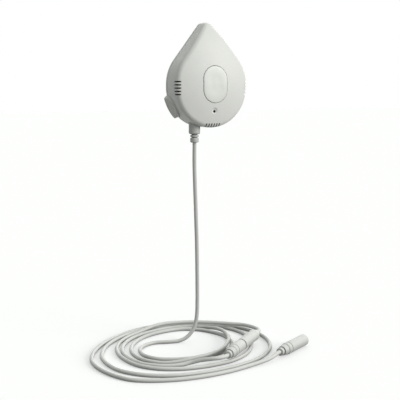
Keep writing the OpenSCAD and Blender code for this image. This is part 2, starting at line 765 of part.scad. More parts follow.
module battery_cradle() {
    half_h = cell_r + cell_clear + cradle_t;
    half_l = (stack_l + contact_room) / 2;
    room_from = -half_l;
    room_to = half_l;
    color([0.25, 0.26, 0.27]) stand() difference() {
        union() {
            intersection() {
                translate([room_from - cradle_t, cell_v - half_h, cradle_back])
                    cube([room_to - room_from + 2 * cradle_t, 2 * half_h, cradle_front - cradle_back]);
                translate([0, 0, body_d - dome_r]) sphere(r = dome_r - wall_t - cradle_gap, $fn = fine);
            }
            for (p = cradle_spots) {
                translate([p[0], p[1], board_d]) cylinder(r = ear_r, h = board_t);
                translate([min(p[0], sign(p[0]) * half_l), p[1] - ear_r, board_d])
                    cube([abs(p[0] - sign(p[0]) * half_l), 2 * ear_r, board_t]);
            }
        }
        translate([room_from, cell_v, cell_d]) rotate([0, 90, 0])
            cylinder(r = cell_r + cell_clear, h = room_to - room_from);
        translate([room_from, cell_v - cell_r - cell_clear, cradle_back - 1])
            cube([room_to - room_from, 2 * (cell_r + cell_clear), cell_d - cradle_back + 1]);
        for (p = cradle_spots) translate([p[0], p[1], board_d - 1]) cylinder(r = screw_r + hole_gap, h = board_t + 2);
    }
}

module along_cell(from) {
    stand() translate([from, cell_v, cell_d]) rotate([0, 90, 0]) children();
}

module battery_cell() {
    color([0.2, 0.25, 0.5]) along_cell(cell_x) {
        cylinder(r = cell_r, h = cell_l);
        cylinder(r = cell_cap_r, h = cell_l + cell_cap_l);
    }
}

module positive_contact() {
    color([0.75, 0.75, 0.76]) along_cell(cell_x + cell_l + cell_cap_l) cylinder(r = contact_r, h = contact_t);
}

module negative_contact() {
    color([0.75, 0.75, 0.76]) along_cell(cell_x - coil_l - contact_t) cylinder(r = contact_r, h = contact_t);
}

module negative_spring() {
    color([0.7, 0.7, 0.72]) along_cell(cell_x - coil_l)
        helix(coil_base_r, coil_tip_r, 0, coil_l, coil_turns, coil_wire);
}

module lead_plug() {
    color([0.86, 0.87, 0.85]) translate([port_x, -port_d, 0]) rotate_extrude() polygon([
        [0, neck_end], [collar_r - edge_r, neck_end], [collar_r, neck_end - edge_r],
        [collar_r, collar_end + collar_chamfer], [collar_r - collar_chamfer, collar_end],
        [groove_r, collar_end], [groove_r, collar_end - 0.8], [relief_r, collar_end - 0.8],
        [relief_r, collar_end - 2.3], [groove_r, collar_end - 2.3], [groove_r, collar_end - 3.1],
        [relief_r, collar_end - 3.1], [relief_r, plug_end + 0.5], [relief_r - 0.5, plug_end], [0, plug_end]]);
}

// jack pin with a coned tip, drawn up from its plug's face
module jack_pin() {
    rotate_extrude() polygon([[0, 0], [pin_r, 0], [pin_r, pin_l - pin_tip_l], [pin_tip_r, pin_l], [0, pin_l]]);
}

module lead_plug_pin() {
    color([0.8, 0.75, 0.6]) translate([port_x, -port_d, neck_end]) jack_pin();
}

module lead_drop() {
    color([0.83, 0.84, 0.82]) tube(drop_points3, [sin(drop_dir), -cos(drop_dir), 0], cord_r, cord_sides);
}

module lead_coil() {
    color([0.83, 0.84, 0.82]) tube(lead_points, [0, 0, 1], cord_r, cord_sides);
}

// moulded socket along +X from its cord end
module socket(length) {
    rotate([0, 90, 0]) difference() {
        rotate_extrude() polygon([
            [0, 0], [nub_r, 0], [nub_r, nub_l], [waist_r, nub_l], [waist_r, nub_l + waist_l],
            [cone_r, nub_l + waist_l], [cone_end_r, barrel_from - groove_l - edge_r],
            [groove_in_r, barrel_from - groove_l - edge_r], [groove_in_r, barrel_from - edge_r],
            [barrel_r - edge_r, barrel_from - edge_r], [barrel_r, barrel_from], [barrel_r, ring_from],
            [barrel_r - ring_t, ring_from], [barrel_r - ring_t, ring_from + groove_l],
            [barrel_r, ring_from + groove_l], [barrel_r, length - edge_r], [barrel_r - edge_r, length], [0, length]]);
        translate([0, 0, length - socket_depth]) cylinder(r = bore_r, h = socket_depth + 1);
    }
}

module lead_socket() {
    color([0.83, 0.84, 0.82]) translate(inline_at) rotate([0, 0, inline_yaw]) socket(inline_socket_l);
}

module sensing_plug() {
    color([0.86, 0.87, 0.85]) translate(along(inline_at, inline_yaw, inline_socket_l)) rotate([0, 0, inline_yaw])
        rotate([0, 90, 0]) rotate_extrude() polygon([
            [0, 0], [barrel_r - seam_t, 0], [barrel_r - seam_t, seam_l], [barrel_r, seam_l],
            [barrel_r, inline_plug_l - plug_taper_l], [plug_neck_r, inline_plug_l], [0, inline_plug_l]]);
}

module sensing_plug_pin() {
    color([0.8, 0.75, 0.6]) translate(along(inline_at, inline_yaw, inline_socket_l)) rotate([0, 0, inline_yaw])
        rotate([0, -90, 0]) jack_pin();
}

module sensing_cord() {
    color([0.83, 0.84, 0.82]) tube(sensing_points, [0, 0, 1], cord_r, cord_sides);
}

module end_socket() {
    color([0.83, 0.84, 0.82]) translate(end_at) rotate([0, 0, end_yaw]) socket(end_socket_l);
}

rear_cover();
sense_probes();
left_release_tab();
right_release_tab();
left_tab_spring();
right_tab_spring();
front_shell();
front_button();
switch_plunger();
tact_switch();
main_board();
board_screws();
radio_module();
piezo_sounder();
climate_sensor();
status_led();
light_pipe();
probe_pins();
jack_socket();
battery_cradle();
cradle_screws();
battery_cell();
positive_contact();
negative_contact();
negative_spring();
lead_plug();
lead_plug_pin();
lead_drop();
lead_coil();
lead_socket();
sensing_plug();
sensing_plug_pin();
sensing_cord();
end_socket();
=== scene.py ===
import math

import bmesh
import bpy
import numpy as np
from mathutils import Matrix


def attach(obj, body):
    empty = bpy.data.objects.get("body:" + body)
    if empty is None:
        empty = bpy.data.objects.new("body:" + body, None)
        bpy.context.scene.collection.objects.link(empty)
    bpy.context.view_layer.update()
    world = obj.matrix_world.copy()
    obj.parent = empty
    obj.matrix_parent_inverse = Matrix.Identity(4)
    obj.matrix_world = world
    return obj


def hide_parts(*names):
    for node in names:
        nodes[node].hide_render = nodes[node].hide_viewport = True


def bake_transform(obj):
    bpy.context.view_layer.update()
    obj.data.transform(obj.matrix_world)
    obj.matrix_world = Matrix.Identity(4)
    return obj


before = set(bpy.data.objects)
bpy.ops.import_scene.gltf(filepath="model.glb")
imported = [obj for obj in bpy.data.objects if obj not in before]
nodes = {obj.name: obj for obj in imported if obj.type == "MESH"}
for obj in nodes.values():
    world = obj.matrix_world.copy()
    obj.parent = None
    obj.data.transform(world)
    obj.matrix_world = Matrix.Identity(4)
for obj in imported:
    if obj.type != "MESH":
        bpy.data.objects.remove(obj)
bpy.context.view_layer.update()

mm = 0.001
floorLevel = -217.5
crease = 38         # faces that meet at more than this many degrees keep a hard edge
quarterRound = np.linspace(0, math.pi / 2, 7)       # angles of the rows over a rounded edge
scene = bpy.context.scene
print("frame loaded:", len(nodes), "nodes")


# shared surface helpers

def standUp(p):
    # housing frame (across, up, out from the wall) to the room: out from the wall is -Y
    p = np.asarray(p, float)
    return np.stack([p[..., 0], -p[..., 2], p[..., 1]], -1)


def sideways(p):
    # outline in (up, out), carried across the housing
    return standUp(np.stack([p[..., 2], p[..., 0], p[..., 1]], -1))


def upward(p):
    # outline in (across, out), carried up the housing
    return standUp(np.stack([p[..., 0], p[..., 2], p[..., 1]], -1))


def atDepth(p, depth):
    # flat outline set at one depth, or at a depth for each of its points
    return np.concatenate([p, np.broadcast_to(np.reshape(depth, (-1, 1)), (len(p), 1))], -1)


def onCircle(a):
    # points of the circle of radius 1 at the angles a
    return np.stack([np.cos(a), np.sin(a)], -1)


def ringQuads(rows, cols):
    # four corners of every cell between neighbouring rings, the last column joined to the first
    i, j = np.meshgrid(np.arange(rows - 1), np.arange(cols), indexing="ij")
    k = (j + 1) % cols
    return np.stack([i * cols + j, i * cols + k, (i + 1) * cols + k, (i + 1) * cols + j], -1).reshape(-1, 4)


def ringSkin(rings, first, last):
    # closed skin: a stack of rings, with a fan from each end ring to a pole
    rows, cols = rings.shape[:2]
    points = np.concatenate([rings.reshape(-1, 3), [first, last]])
    j = np.arange(cols)
    k = (j + 1) % cols
    top = (rows - 1) * cols
    lowFan = np.stack([k, j, np.full(cols, rows * cols)], -1)
    highFan = np.stack([top + j, top + k, np.full(cols, rows * cols + 1)], -1)
    return points, ringQuads(rows, cols).tolist() + lowFan.tolist() + highFan.tolist()


def joinSkins(skins):
    # several skins as one list of points and faces
    starts = np.cumsum([0] + [len(points) for points, faces in skins[:-1]]).tolist()
    faces = [[int(i) + start for i in face] for start, skin in zip(starts, skins) for face in skin[1]]
    return np.concatenate([points for points, faces in skins]), faces


def faceOutward(mesh):
    # every face of a closed skin looks out of it
    edit = bmesh.new()
    edit.from_mesh(mesh)
    bmesh.ops.recalc_face_normals(edit, faces=edit.faces)
    edit.to_mesh(mesh)
    edit.free()


def softShade(mesh, angle):
    # smooth shading, with a crease where two faces meet at more than the angle
    mesh.polygons.foreach_set("use_smooth", np.ones(len(mesh.polygons), bool))
    mesh.set_sharp_from_angle(angle=math.radians(angle))


def addPiece(name, skin, angle=crease, run=None):
    # closed skin in mm as an object in metres; run is a cord's map, two figures for each corner of a face
    points, faces = skin
    mesh = bpy.data.meshes.new(name)
    mesh.from_pydata((np.asarray(points) * mm).tolist(), [], faces)
    if run is not None:
        mesh.uv_layers.new(name="run").uv.foreach_set("vector", run)
    faceOutward(mesh)
    softShade(mesh, angle)
    piece = bpy.data.objects.new(name, mesh)
    scene.collection.objects.link(piece)
    return piece


def carve(piece, skins, angle=crease):
    # takes the skins out of the piece, one exact cut after another, and keeps the result as its mesh
    cutters = [addPiece("cutter", skin) for skin in skins]
    for cutter in cutters:
        cut = piece.modifiers.new("cut", "BOOLEAN")
        cut.operation = "DIFFERENCE"
        cut.solver = "EXACT"
        cut.object = cutter
    result = bpy.data.meshes.new_from_object(piece.evaluated_get(bpy.context.evaluated_depsgraph_get()))
    piece.modifiers.clear()
    old = piece.data
    piece.data = result
    result.name = piece.name
    bpy.data.meshes.remove(old)
    for cutter in cutters:
        bpy.data.meshes.remove(cutter.data)
    softShade(result, angle)


def joinPiece(piece, extra, angle=crease):
    # takes the mesh of another closed piece into this one
    edit = bmesh.new()
    edit.from_mesh(piece.data)
    edit.from_mesh(extra.data)
    edit.to_mesh(piece.data)
    edit.free()
    bpy.data.meshes.remove(extra.data)
    softShade(piece.data, angle)


def softProfile(corners, radius, count=5, share=0.45):
    # each inner corner becomes a parabola that starts and ends a radius away from it, or a share of its shorter side
    p = np.array(corners, float)
    before, corner, after = p[:-2], p[1:-1], p[2:]
    toBefore = np.linalg.norm(before - corner, axis=1)[:, None]
    toAfter = np.linalg.norm(after - corner, axis=1)[:, None]
    reach = np.minimum(radius, share * np.minimum(toBefore, toAfter))
    start = corner + (before - corner) / toBefore * reach
    end = corner + (after - corner) / toAfter * reach
    t = np.linspace(0, 1, count)[None, :, None]
    bend = (1 - t) ** 2 * start[:, None] + 2 * t * (1 - t) * corner[:, None] + t ** 2 * end[:, None]
    return np.concatenate([p[:1], bend.reshape(-1, 2), p[-1:]])


def turned(profile, at, axis, side, turns=72):
    # profile of radius and height carried round an axis; its first and last points are the poles
    profile, at, axis, side = (np.asarray(v, float) for v in (profile, at, axis, side))
    a = np.linspace(0, 2 * math.pi, turns, endpoint=False)
    around = np.cos(a)[:, None] * side + np.sin(a)[:, None] * np.cross(axis, side)
    body = profile[1:-1]
    rings = at + body[:, None, 1:] * axis + body[:, None, :1] * around[None]
    return ringSkin(rings, at + profile[0, 1] * axis, at + profile[-1, 1] * axis)


def turnedOut(profile, across, up, turns):
    # turned about an axis that points straight out of the wall
    return turned(profile, standUp([across, up, 0]), standUp([0, 0, 1]), standUp([1, 0, 0]), turns)


def prism(outline, levels, place):
    # flat outline repeated at each level; place turns (first, second, level) into a point of the room
    outline = np.asarray(outline, float)
    flat = np.broadcast_to(outline, (len(levels),) + outline.shape)
    height = np.broadcast_to(np.asarray(levels, float)[:, None, None], flat.shape[:2] + (1,))
    middle = outline.mean(0)
    first, last = (np.append(middle, level) for level in (levels[0], levels[-1]))
    return ringSkin(place(np.concatenate([flat, height], -1)), place(first), place(last))


def circle(r, at=(0, 0), count=64):
    # circle about a point, without its first point repeated
    return np.array(at) + r * onCircle(np.linspace(0, 2 * math.pi, count, endpoint=False))


def roundBox(low, high, r, count=6):
    # rectangle whose four corners are quarter circles
    (left, bottom), (right, top) = np.asarray(low, float) + r, np.asarray(high, float) - r
    arc = r * onCircle(np.linspace(0, math.pi / 2, count))
    onward = arc[:, ::-1] * [-1, 1]
    return np.concatenate([[right, top] + arc, [left, top] + onward,
                           [left, bottom] - arc, [right, bottom] - onward])


def bowl(share):
    # half a cosine wave: 0 at the rim, 1 from the share 1 inward
    return 0.5 * (1 - math.cos(math.pi * min(1, share)))


# housing outline and domed front

housing = {"width": 67, "height": 86, "depth": 25, "tip": 5, "shoulder": 1.5, "domeRadius": 110, "rim": 3.2,
           "wall": 2, "rearEdge": 3.3, "edgeSoft": 0.35, "easeShare": 0.3}
bigR = housing["width"] / 2
tipV = housing["height"] - bigR - housing["tip"]
slope = math.asin((bigR - housing["tip"]) / (tipV - housing["shoulder"]))


def dropOutline(inset):
    # shoulder arc, short straight side, round bottom and back up, straight flanks to a small arc over the point
    r, t = bigR - inset, housing["tip"] - inset
    lift = np.array([0, housing["shoulder"]])
    a = np.linspace(slope, 0, 38)
    right = r * onCircle(a) + lift
    bottom = r * onCircle(np.linspace(0, -math.pi, 170))
    low = np.concatenate([right, bottom, right[::-1] * [-1, 1]])
    b = np.linspace(math.pi - slope, slope, 40)
    top = t * onCircle(b) + [0, tipV]
    f = np.linspace(0, 1, 40)[1:-1, None]
    return np.concatenate([low, low[-1] + (top[0] - low[-1]) * f, top, top[-1] + (low[0] - top[-1]) * f])


def domeDepth(x, v):
    # height of a sphere's cap whose pole is the middle of the front
    r = housing["domeRadius"]
    return housing["depth"] - r + np.sqrt(r * r - x * x - v * v)


def domeRing(inset, shrink, lower):
    # outline drawn in, laid on the dome and lowered
    p = dropOutline(inset) * shrink
    return atDepth(p, domeDepth(p[:, 0], p[:, 1]) - lower)


def levelRing(inset, depth, shrink=1.0):
    # outline drawn in, at one depth
    return atDepth(dropOutline(inset) * shrink, depth)


def domedSkin(start, lower, rim, rearRings):
    # straight wall, a quarter round over the rim, then rings drawn in towards the middle of the dome
    a = np.linspace(0, math.pi / 2, 13)
    rounds = [domeRing(start + rim * (1 - math.cos(t)), 1, lower + rim * (1 - math.sin(t))) for t in a]
    wall = [rearRings[-1] + (rounds[0] - rearRings[-1]) * f for f in np.linspace(0, 1, 11)[1:-1]]
    front = [domeRing(start + rim, 1 - s, lower) for s in np.linspace(0, 1, 27)[1:-1]]
    return rearRings + wall + rounds + front


def obround(inset, values):
    # two half circles joined by straight sides, moved inward by the inset
    r, mid = values["width"] / 2 - inset, (values["height"] - values["width"]) / 2
    a = np.linspace(0, math.pi, 56)
    f = np.linspace(1, -1, 14)[1:-1, None]
    top = r * onCircle(a) + [0, mid]
    left = np.concatenate([np.full_like(f, -r), mid * f], -1)
    return np.concatenate([top, left, -top, -left]) + [0, values["up"]]


tabValues = {"angle": 30, "radius": 10.75, "gap": 0.3, "base": 0.6, "baseMove": 0.5, "outer": 37, "inner": 31.5,
             "cut": (28.31, 38), "postDepth": 5, "postRadius": 1.6, "postInto": 0.5, "postSoft": 0.25,
             "stopRadius": 2.3, "stopFrom": 24.01, "stopThick": 1, "slopeFrom": 33, "slope": 0.9, "edge": 0.5,
             "backSoft": 0.25, "backEase": 0.06, "rimFlat": 0.5, "dish": 0.6, "scoop": 2.2, "ramp": 0.7,
             "centre": 4.4}


def tabPlace(side):
    # (across, depth, outward) at a tab to the room
    a = math.radians(-tabValues["angle"] if side > 0 else 180 + tabValues["angle"])
    out, across = np.array([math.cos(a), math.sin(a)]), np.array([-math.sin(a), math.cos(a)])

    def place(p):
        p = np.asarray(p, float)
        flat = p[..., 2:3] * out + p[..., 0:1] * across
        return standUp(np.concatenate([flat, p[..., 1:2]], -1))
    return place


def tabCuts():
    # round cutters that open the wall for the two tabs
    moon = circle(tabValues["radius"] + tabValues["gap"], count=160)
    return [prism(moon, tabValues["cut"], tabPlace(side)) for side in (-1, 1)]


# front shell: domed drop with its openings

shellValues = {"vents": {"count": 5, "pitch": 2.6, "wide": 1.1, "middle": -1, "span": (15.5, 36)},
               "sounds": {"count": 6, "pitch": 2.4, "wide": 1.2, "middle": 0, "span": (15, 40)},
               "ventCuts": ((-35, -29.7), (29.7, 35)), "soundCut": (-35, -29.9), "slotSoft": 0.42,
               "lightUp": -20, "lightRadius": 1.2, "lightCut": (14, 30), "lightSoft": 0.01,
               "dishRadius": 2.6, "dishDeep": 0.8, "port": (-11.25, 8.9), "portRadius": 5.15,
               "portCut": (-36, -16.75), "buttonGap": 0.3, "lipSoft": 0.3, "lipOver": 0.02, "lipFlare": 0.1,
               "openFrom": 19, "openOver": 2, "openTop": 27.5, "bossRadius": 2.6, "bossFrom": 13.8, "bossInto": 1,
               "bossSoft": 0.15, "pilotRadius": 0.95, "pilotDeep": 4.2, "crease": 28,
               "bosses": ((-22, -3.5), (22, -3.5), (4, -25.5), (-23.5, 11), (23.5, 11))}
buttonValues = {"width": 22, "height": 30, "up": 2, "floor": 21.2, "floorSoft": 0.3, "proud": 0.3, "edge": 0.45,
                "rimFlat": 0.6, "dish": 0.5, "scoop": 1.25, "wingOut": 12.6, "wingLow": -8, "wingHigh": 0,
                "wingFrom": 20.5, "wingThick": 1.1, "wingSoft": 0.8, "stemUp": -3.4, "stemRadius": 2.2,
                "stemFrom": 18.22, "stemTo": 22, "stemSoft": 0.3}


def buttonOpening():
    # obround walls that follow the dome, flared by a small chamfer where they meet it
    v, up = shellValues, buttonValues["up"]
    soft, gap = v["lipSoft"], v["buttonGap"]
    ease = soft * housing["easeShare"]
    rings = [atDepth(obround(-gap, buttonValues), v["openFrom"])]
    for inset, above in ((-gap, -soft), (-gap - ease, -ease), (-gap - soft, v["lipOver"]),
                         (-gap - soft - v["lipFlare"], v["openOver"])):
        p = obround(inset, buttonValues)
        rings.append(atDepth(p, domeDepth(p[:, 0], p[:, 1]) + above))
    return ringSkin(standUp(rings), standUp([0, up, v["openFrom"]]), standUp([0, up, v["openTop"]]))


def slotRow(row):
    # outlines of slots side by side, evenly spaced about the row's middle
    half, (low, high) = row["wide"] / 2, row["span"]
    places = row["middle"] + (np.arange(row["count"]) - (row["count"] - 1) / 2) * row["pitch"]
    return [roundBox((at - half, low), (at + half, high), shellValues["slotSoft"]) for at in places]


def makeFrontShell():
    # inner skin from the middle of the dome to the rear edge, outer skin from there back to the middle
    v, h = shellValues, housing
    soft, ease = h["edgeSoft"], h["edgeSoft"] * h["easeShare"]
    outer = domedSkin(0, 0, h["rim"], [levelRing(soft, h["rearEdge"]), levelRing(ease, h["rearEdge"] + ease),
                                       levelRing(0, h["rearEdge"] + soft)])
    inner = domedSkin(h["wall"], h["wall"], h["rim"] - h["wall"], [levelRing(h["wall"], h["rearEdge"])])
    rings = np.array(inner[::-1] + outer)
    shell = addPiece("frontShell", ringSkin(standUp(rings), standUp([0, 0, h["depth"] - h["wall"]]),
                                            standUp([0, 0, h["depth"]])))
    holes = [prism(slot, cut, sideways) for slot in slotRow(v["vents"]) for cut in v["ventCuts"]]
    holes += [prism(slot, v["soundCut"], upward) for slot in slotRow(v["sounds"])]
    holes.append(prism(circle(v["portRadius"], v["port"], 96), v["portCut"], upward))
    holes += tabCuts() + [buttonOpening()]
    # the light's dish is a cap of a sphere, with the pinhole through its bottom
    deep = float(domeDepth(0, v["lightUp"]))
    ball = (v["dishRadius"] ** 2 + v["dishDeep"] ** 2) / (2 * v["dishDeep"])
    t = np.linspace(0, math.pi, 40)
    cap = np.stack([ball * np.sin(t), deep - v["dishDeep"] + ball - ball * np.cos(t)], -1)
    r, (low, high) = v["lightRadius"], v["lightCut"]
    hole = softProfile([(0, low), (r, low), (r, high), (0, high)], v["lightSoft"], 2)
    light = [turnedOut(cap, 0, v["lightUp"], 64), turnedOut(hole, 0, v["lightUp"], 32)]
    carve(shell, [joinSkins(holes), *light], v["crease"])
    # screw bosses hang from the inside of the dome, each with a pilot hole
    low, r, pilot = v["bossFrom"], v["bossRadius"], v["pilotRadius"]
    floor = low + v["pilotDeep"]
    for across, up in v["bosses"]:
        top = float(domeDepth(across, up)) - v["bossInto"]
        corners = [(0, floor), (pilot, floor), (pilot, low), (r, low), (r, top), (0, top)]
        boss = turnedOut(softProfile(corners, v["bossSoft"], 4), across, up, 32)
        joinPiece(shell, addPiece("boss", boss), v["crease"])
    return shell


frontShell = makeFrontShell()
print("front shell:", len(frontShell.data.polygons), "faces")


# rear cover: tray with a lip, keyhole, probe wells and the tabs' guides

coverValues = {"plate": 1.8, "seam": 3.0, "lipDeep": 6.5, "lipFrom": 2.3, "lipThick": 1.4, "backSoft": 0.9,
               "soft": 0.35, "keyUp": 31, "keyEntry": 3.5, "keySlot": 1.9, "keyRun": 5, "keyCut": (-1, 3),
               "notchLow": (-17.45, 3.0), "notchHigh": (-5.05, 9.5), "notchSoft": 0.3, "notchCut": (-35, -16.75),
               "probes": ((-8, -8.5), (8, -8.5), (0, -19.5)), "wellRadius": 3.0, "wellDeep": 0.4, "wellFlare": 0.2,
               "wellEase": 0.15, "wellCut": (-1, 4), "holeRadius": 1.55, "guideFrom": 25.26, "guideTo": 28.26,
               "guideWide": 6, "guideTop": 8, "guideSink": 0.05, "guideSoft": 0.4, "guidePlay": 0.15,
               "guideOver": 1}


def keyOutline(v):
    # large circle whose top opens into a narrow slot with a round end
    half = math.asin(v["keySlot"] / v["keyEntry"])
    a = np.linspace(math.pi / 2 + half, 5 * math.pi / 2 - half, 72)
    entry = v["keyEntry"] * onCircle(a) + [0, v["keyUp"]]
    end = v["keySlot"] * onCircle(np.linspace(0, math.pi, 28)) + [0, v["keyUp"] + v["keyRun"]]
    return np.concatenate([entry, end])


def makeRearCover():
    # rings from the middle of the back, round its edge, over the lip and in to the middle of the plate
    v = coverValues
    b, s, lip, inner = v["backSoft"], v["soft"], v["lipFrom"], v["lipFrom"] + v["lipThick"]
    ease, seam, deep = s * housing["easeShare"], v["seam"], v["lipDeep"]
    back = [levelRing(b, 0, f) for f in np.linspace(0, 1, 15)[1:-1]]
    edge = [levelRing(b * (1 - math.sin(a)), b * (1 - math.cos(a))) for a in quarterRound]
    rest = [(0, seam - s), (ease, seam - ease), (s, seam), (lip - s, seam), (lip, seam + s),
            (lip, deep - s), (lip + ease, deep - ease), (lip + s, deep),
            (inner - s, deep), (inner, deep - s), (inner, v["plate"] + s), (inner + s, v["plate"])]
    plate = [levelRing(inner + s, v["plate"], 1 - f) for f in np.linspace(0, 1, 15)[1:-1]]
    rings = np.array(back + edge + [levelRing(*row) for row in rest] + plate)
    cover = addPiece("rearCover", ringSkin(standUp(rings), standUp([0, 0, 0]), standUp([0, 0, v["plate"]])))
    holes = [prism(keyOutline(v), v["keyCut"], standUp)]
    # notch in the lip for the jack socket
    holes.append(prism(roundBox(v["notchLow"], v["notchHigh"], v["notchSoft"]), v["notchCut"], upward))
    holes += tabCuts()
    r, flare, hole, (low, high) = v["wellRadius"], v["wellFlare"], v["holeRadius"], v["wellCut"]
    well = [(0, low), (r + flare, low), (r + flare, 0), (r, v["wellEase"]),
            (r, v["wellDeep"]), (hole, v["wellDeep"]), (hole, high), (0, high)]
    holes += [turnedOut(well, across, up, 48) for across, up in v["probes"]]
    carve(cover, [joinSkins(holes)])
    for hand in (-1, 1):
        # guide block with the hole that the tab's post slides in
        half, low, high, over = v["guideWide"] / 2, v["guideFrom"], v["guideTo"], v["guideOver"]
        block = roundBox((-half, v["plate"] - v["guideSink"]), (half, v["guideTop"]), v["guideSoft"])
        guide = addPiece("guide", prism(block, (low, high), tabPlace(hand)))
        bore = circle(tabValues["postRadius"] + v["guidePlay"], (0, tabValues["postDepth"]), 40)
        carve(guide, [prism(bore, (low - over, high + over), tabPlace(hand))])
        joinPiece(cover, guide)
    return cover


rearCover = makeRearCover()
print("rear cover:", len(rearCover.data.polygons), "faces")


# release tabs: half-moon thumb pads on a post

def moonOutline(inset):
    # half circle closed by a chord; the arc moves inward by the inset, the chord only a little
    r, base = tabValues["radius"] - inset, tabValues["base"] + min(inset, tabValues["baseMove"])
    a0 = math.asin(base / r)
    a = np.linspace(a0, math.pi - a0, 90)
    arc = r * onCircle(a)
    f = np.linspace(0, 1, 50)[1:-1, None]
    return np.concatenate([arc, arc[-1] + (arc[0] - arc[-1]) * f])


def rampedRadius(radius, depth):
    # above the wall the pad falls towards the front, in step with the depth
    v = tabValues
    return radius - max(0, radius - v["slopeFrom"]) * v["ramp"] * depth / v["radius"]


def makeTab(name, side):
    # rows of (inset, distance from the housing's middle, share of the way in to the pad's centre)
    v = tabValues
    e, centre = v["edge"], np.array([0, v["centre"]])
    rows = [(v["backSoft"], v["inner"], f) for f in np.linspace(1, 0, 8)[1:]]
    rows += [(v["backEase"], v["inner"] + v["backEase"], 0), (0, v["inner"] + v["backSoft"], 0)]
    rows += [(0, v["slopeFrom"], 0)]
    # the edge slopes in, rounds over and ends in a narrow flat rim
    rows += [(v["slope"] + e * (1 - math.cos(a)), v["outer"] - e * (1 - math.sin(a)), 0) for a in quarterRound]
    inset = v["slope"] + e + v["rimFlat"]
    rows += [(inset, v["outer"], 0)]
    # scooped face: a cosine from the flat rim down to the middle
    rows += [(inset, v["outer"] - v["dish"] * bowl(f * v["scoop"]), f) for f in np.linspace(0, 1, 18)[1:-1]]
    rings = []
    for inset, radius, inward in rows:
        p = moonOutline(inset)
        p = p + (centre - p) * inward
        rings.append(atDepth(p, np.sqrt(rampedRadius(radius, p[:, 1]) ** 2 - p[:, 0] ** 2)))
    place = tabPlace(side)
    pad = ringSkin(place(np.array(rings)), place([*centre, v["inner"]]),
                   place([*centre, rampedRadius(v["outer"] - v["dish"], v["centre"])]))
    at = place([0, v["postDepth"], 0])
    out = place([0, v["postDepth"], 1]) - at
    low, r, stop, top = v["stopFrom"], v["postRadius"], v["stopRadius"], v["inner"] + v["postInto"]
    high = low + v["stopThick"]
    post = softProfile([(0, low), (stop, low), (stop, high), (r, high), (r, top), (0, top)], v["postSoft"])
    return addPiece(name, joinSkins([pad, turned(post, at, out, (0, 1, 0), 40)]))


leftTab = makeTab("leftReleaseTab", -1)
rightTab = makeTab("rightReleaseTab", 1)
print("release tabs made")


# springs of the tabs

springValues = {"radius": 2.4, "wire": 0.2, "turns": 2.5, "from": 28.26, "to": 31.29, "steps": 24, "sides": 10,
                "crease": 60}


def springEnds(side):
    # where the spring rests on the guide, and where on the pad
    place, v = tabPlace(side), springValues
    return [place([0, tabValues["postDepth"], v[end]]) for end in ("from", "to")]


def makeTabSpring(name, side):
    # circle carried along a helix round the post
    v = springValues
    start, end = springEnds(side)
    out = (end - start) / np.linalg.norm(end - start)
    across = np.array([0, 1.0, 0])
    f = np.linspace(0, 1, int(v["turns"] * v["steps"]) + 1)[:, None]
    a = 2 * math.pi * v["turns"] * f
    spoke = np.cos(a) * across + np.sin(a) * np.cross(out, across)
    path = start + out * v["wire"] + (end - start - 2 * v["wire"] * out) * f + v["radius"] * spoke
    b = np.linspace(0, 2 * math.pi, v["sides"], endpoint=False)[None, :, None]
    rings = path[:, None] + v["wire"] * (np.cos(b) * spoke[:, None] + np.sin(b) * out)
    return addPiece(name, ringSkin(rings, path[0], path[-1]), v["crease"])


leftSpring = makeTabSpring("leftTabSpring", -1)
rightSpring = makeTabSpring("rightTabSpring", 1)
print("tab springs made")


# front button: plain oval that follows the dome, with a shallow dish

def makeButton():
    # rings from the middle of the underside, round the edge and in to the middle of the dish
    v = buttonValues
    e, soft, middle = v["edge"], v["floorSoft"], np.array([0, v["up"]])
    rings = [atDepth(obround(soft, v) * f + middle * (1 - f), v["floor"]) for f in np.linspace(0, 1, 8)[1:]]
    rings.append(atDepth(obround(0, v), v["floor"] + soft))
    rows = [(e * (1 - math.cos(a)), -e * (1 - math.sin(a)), 1) for a in quarterRound]
    rim = e + v["rimFlat"]
    rows += [(rim, 0, 1)]
    # the dish is a cosine bowl inside a flat rim
    rows += [(rim, -v["dish"] * bowl((1 - s) * v["scoop"]), s) for s in np.linspace(1, 0, 26)[1:-1]]
    for inset, lower, s in rows:
        p = (obround(inset, v) - middle) * s + middle
        rings.append(atDepth(p, domeDepth(p[:, 0], p[:, 1]) + v["proud"] + lower))
    cap = ringSkin(standUp(np.array(rings)), standUp([0, v["up"], v["floor"]]),
                   standUp([0, v["up"], housing["depth"] + v["proud"] - v["dish"]]))
    wing = prism(roundBox((-v["wingOut"], v["wingLow"]), (v["wingOut"], v["wingHigh"]), v["wingSoft"]),
                 (v["wingFrom"], v["wingFrom"] + v["wingThick"]), standUp)
    r, low, high = v["stemRadius"], v["stemFrom"], v["stemTo"]
    stem = softProfile([(0, low), (r, low), (r, high), (0, high)], v["stemSoft"])
    return addPiece("frontButton", joinSkins([cap, wing, turnedOut(stem, 0, v["stemUp"], 40)]))


frontButton = makeButton()
print("front button made")


# plugs and sockets: turned mouldings with softened edges

plugValues = {"across": -11.25, "depth": 8.9, "top": -28.5, "collarEnd": -39, "end": -46, "collar": 4.8,
              "relief": 3.6, "groove": 2.5, "topEase": 0.8, "lowEase": 0.9, "grooveHigh": 0.8, "bandHigh": 1.5,
              "tailEase": 0.5, "soft": 0.3}
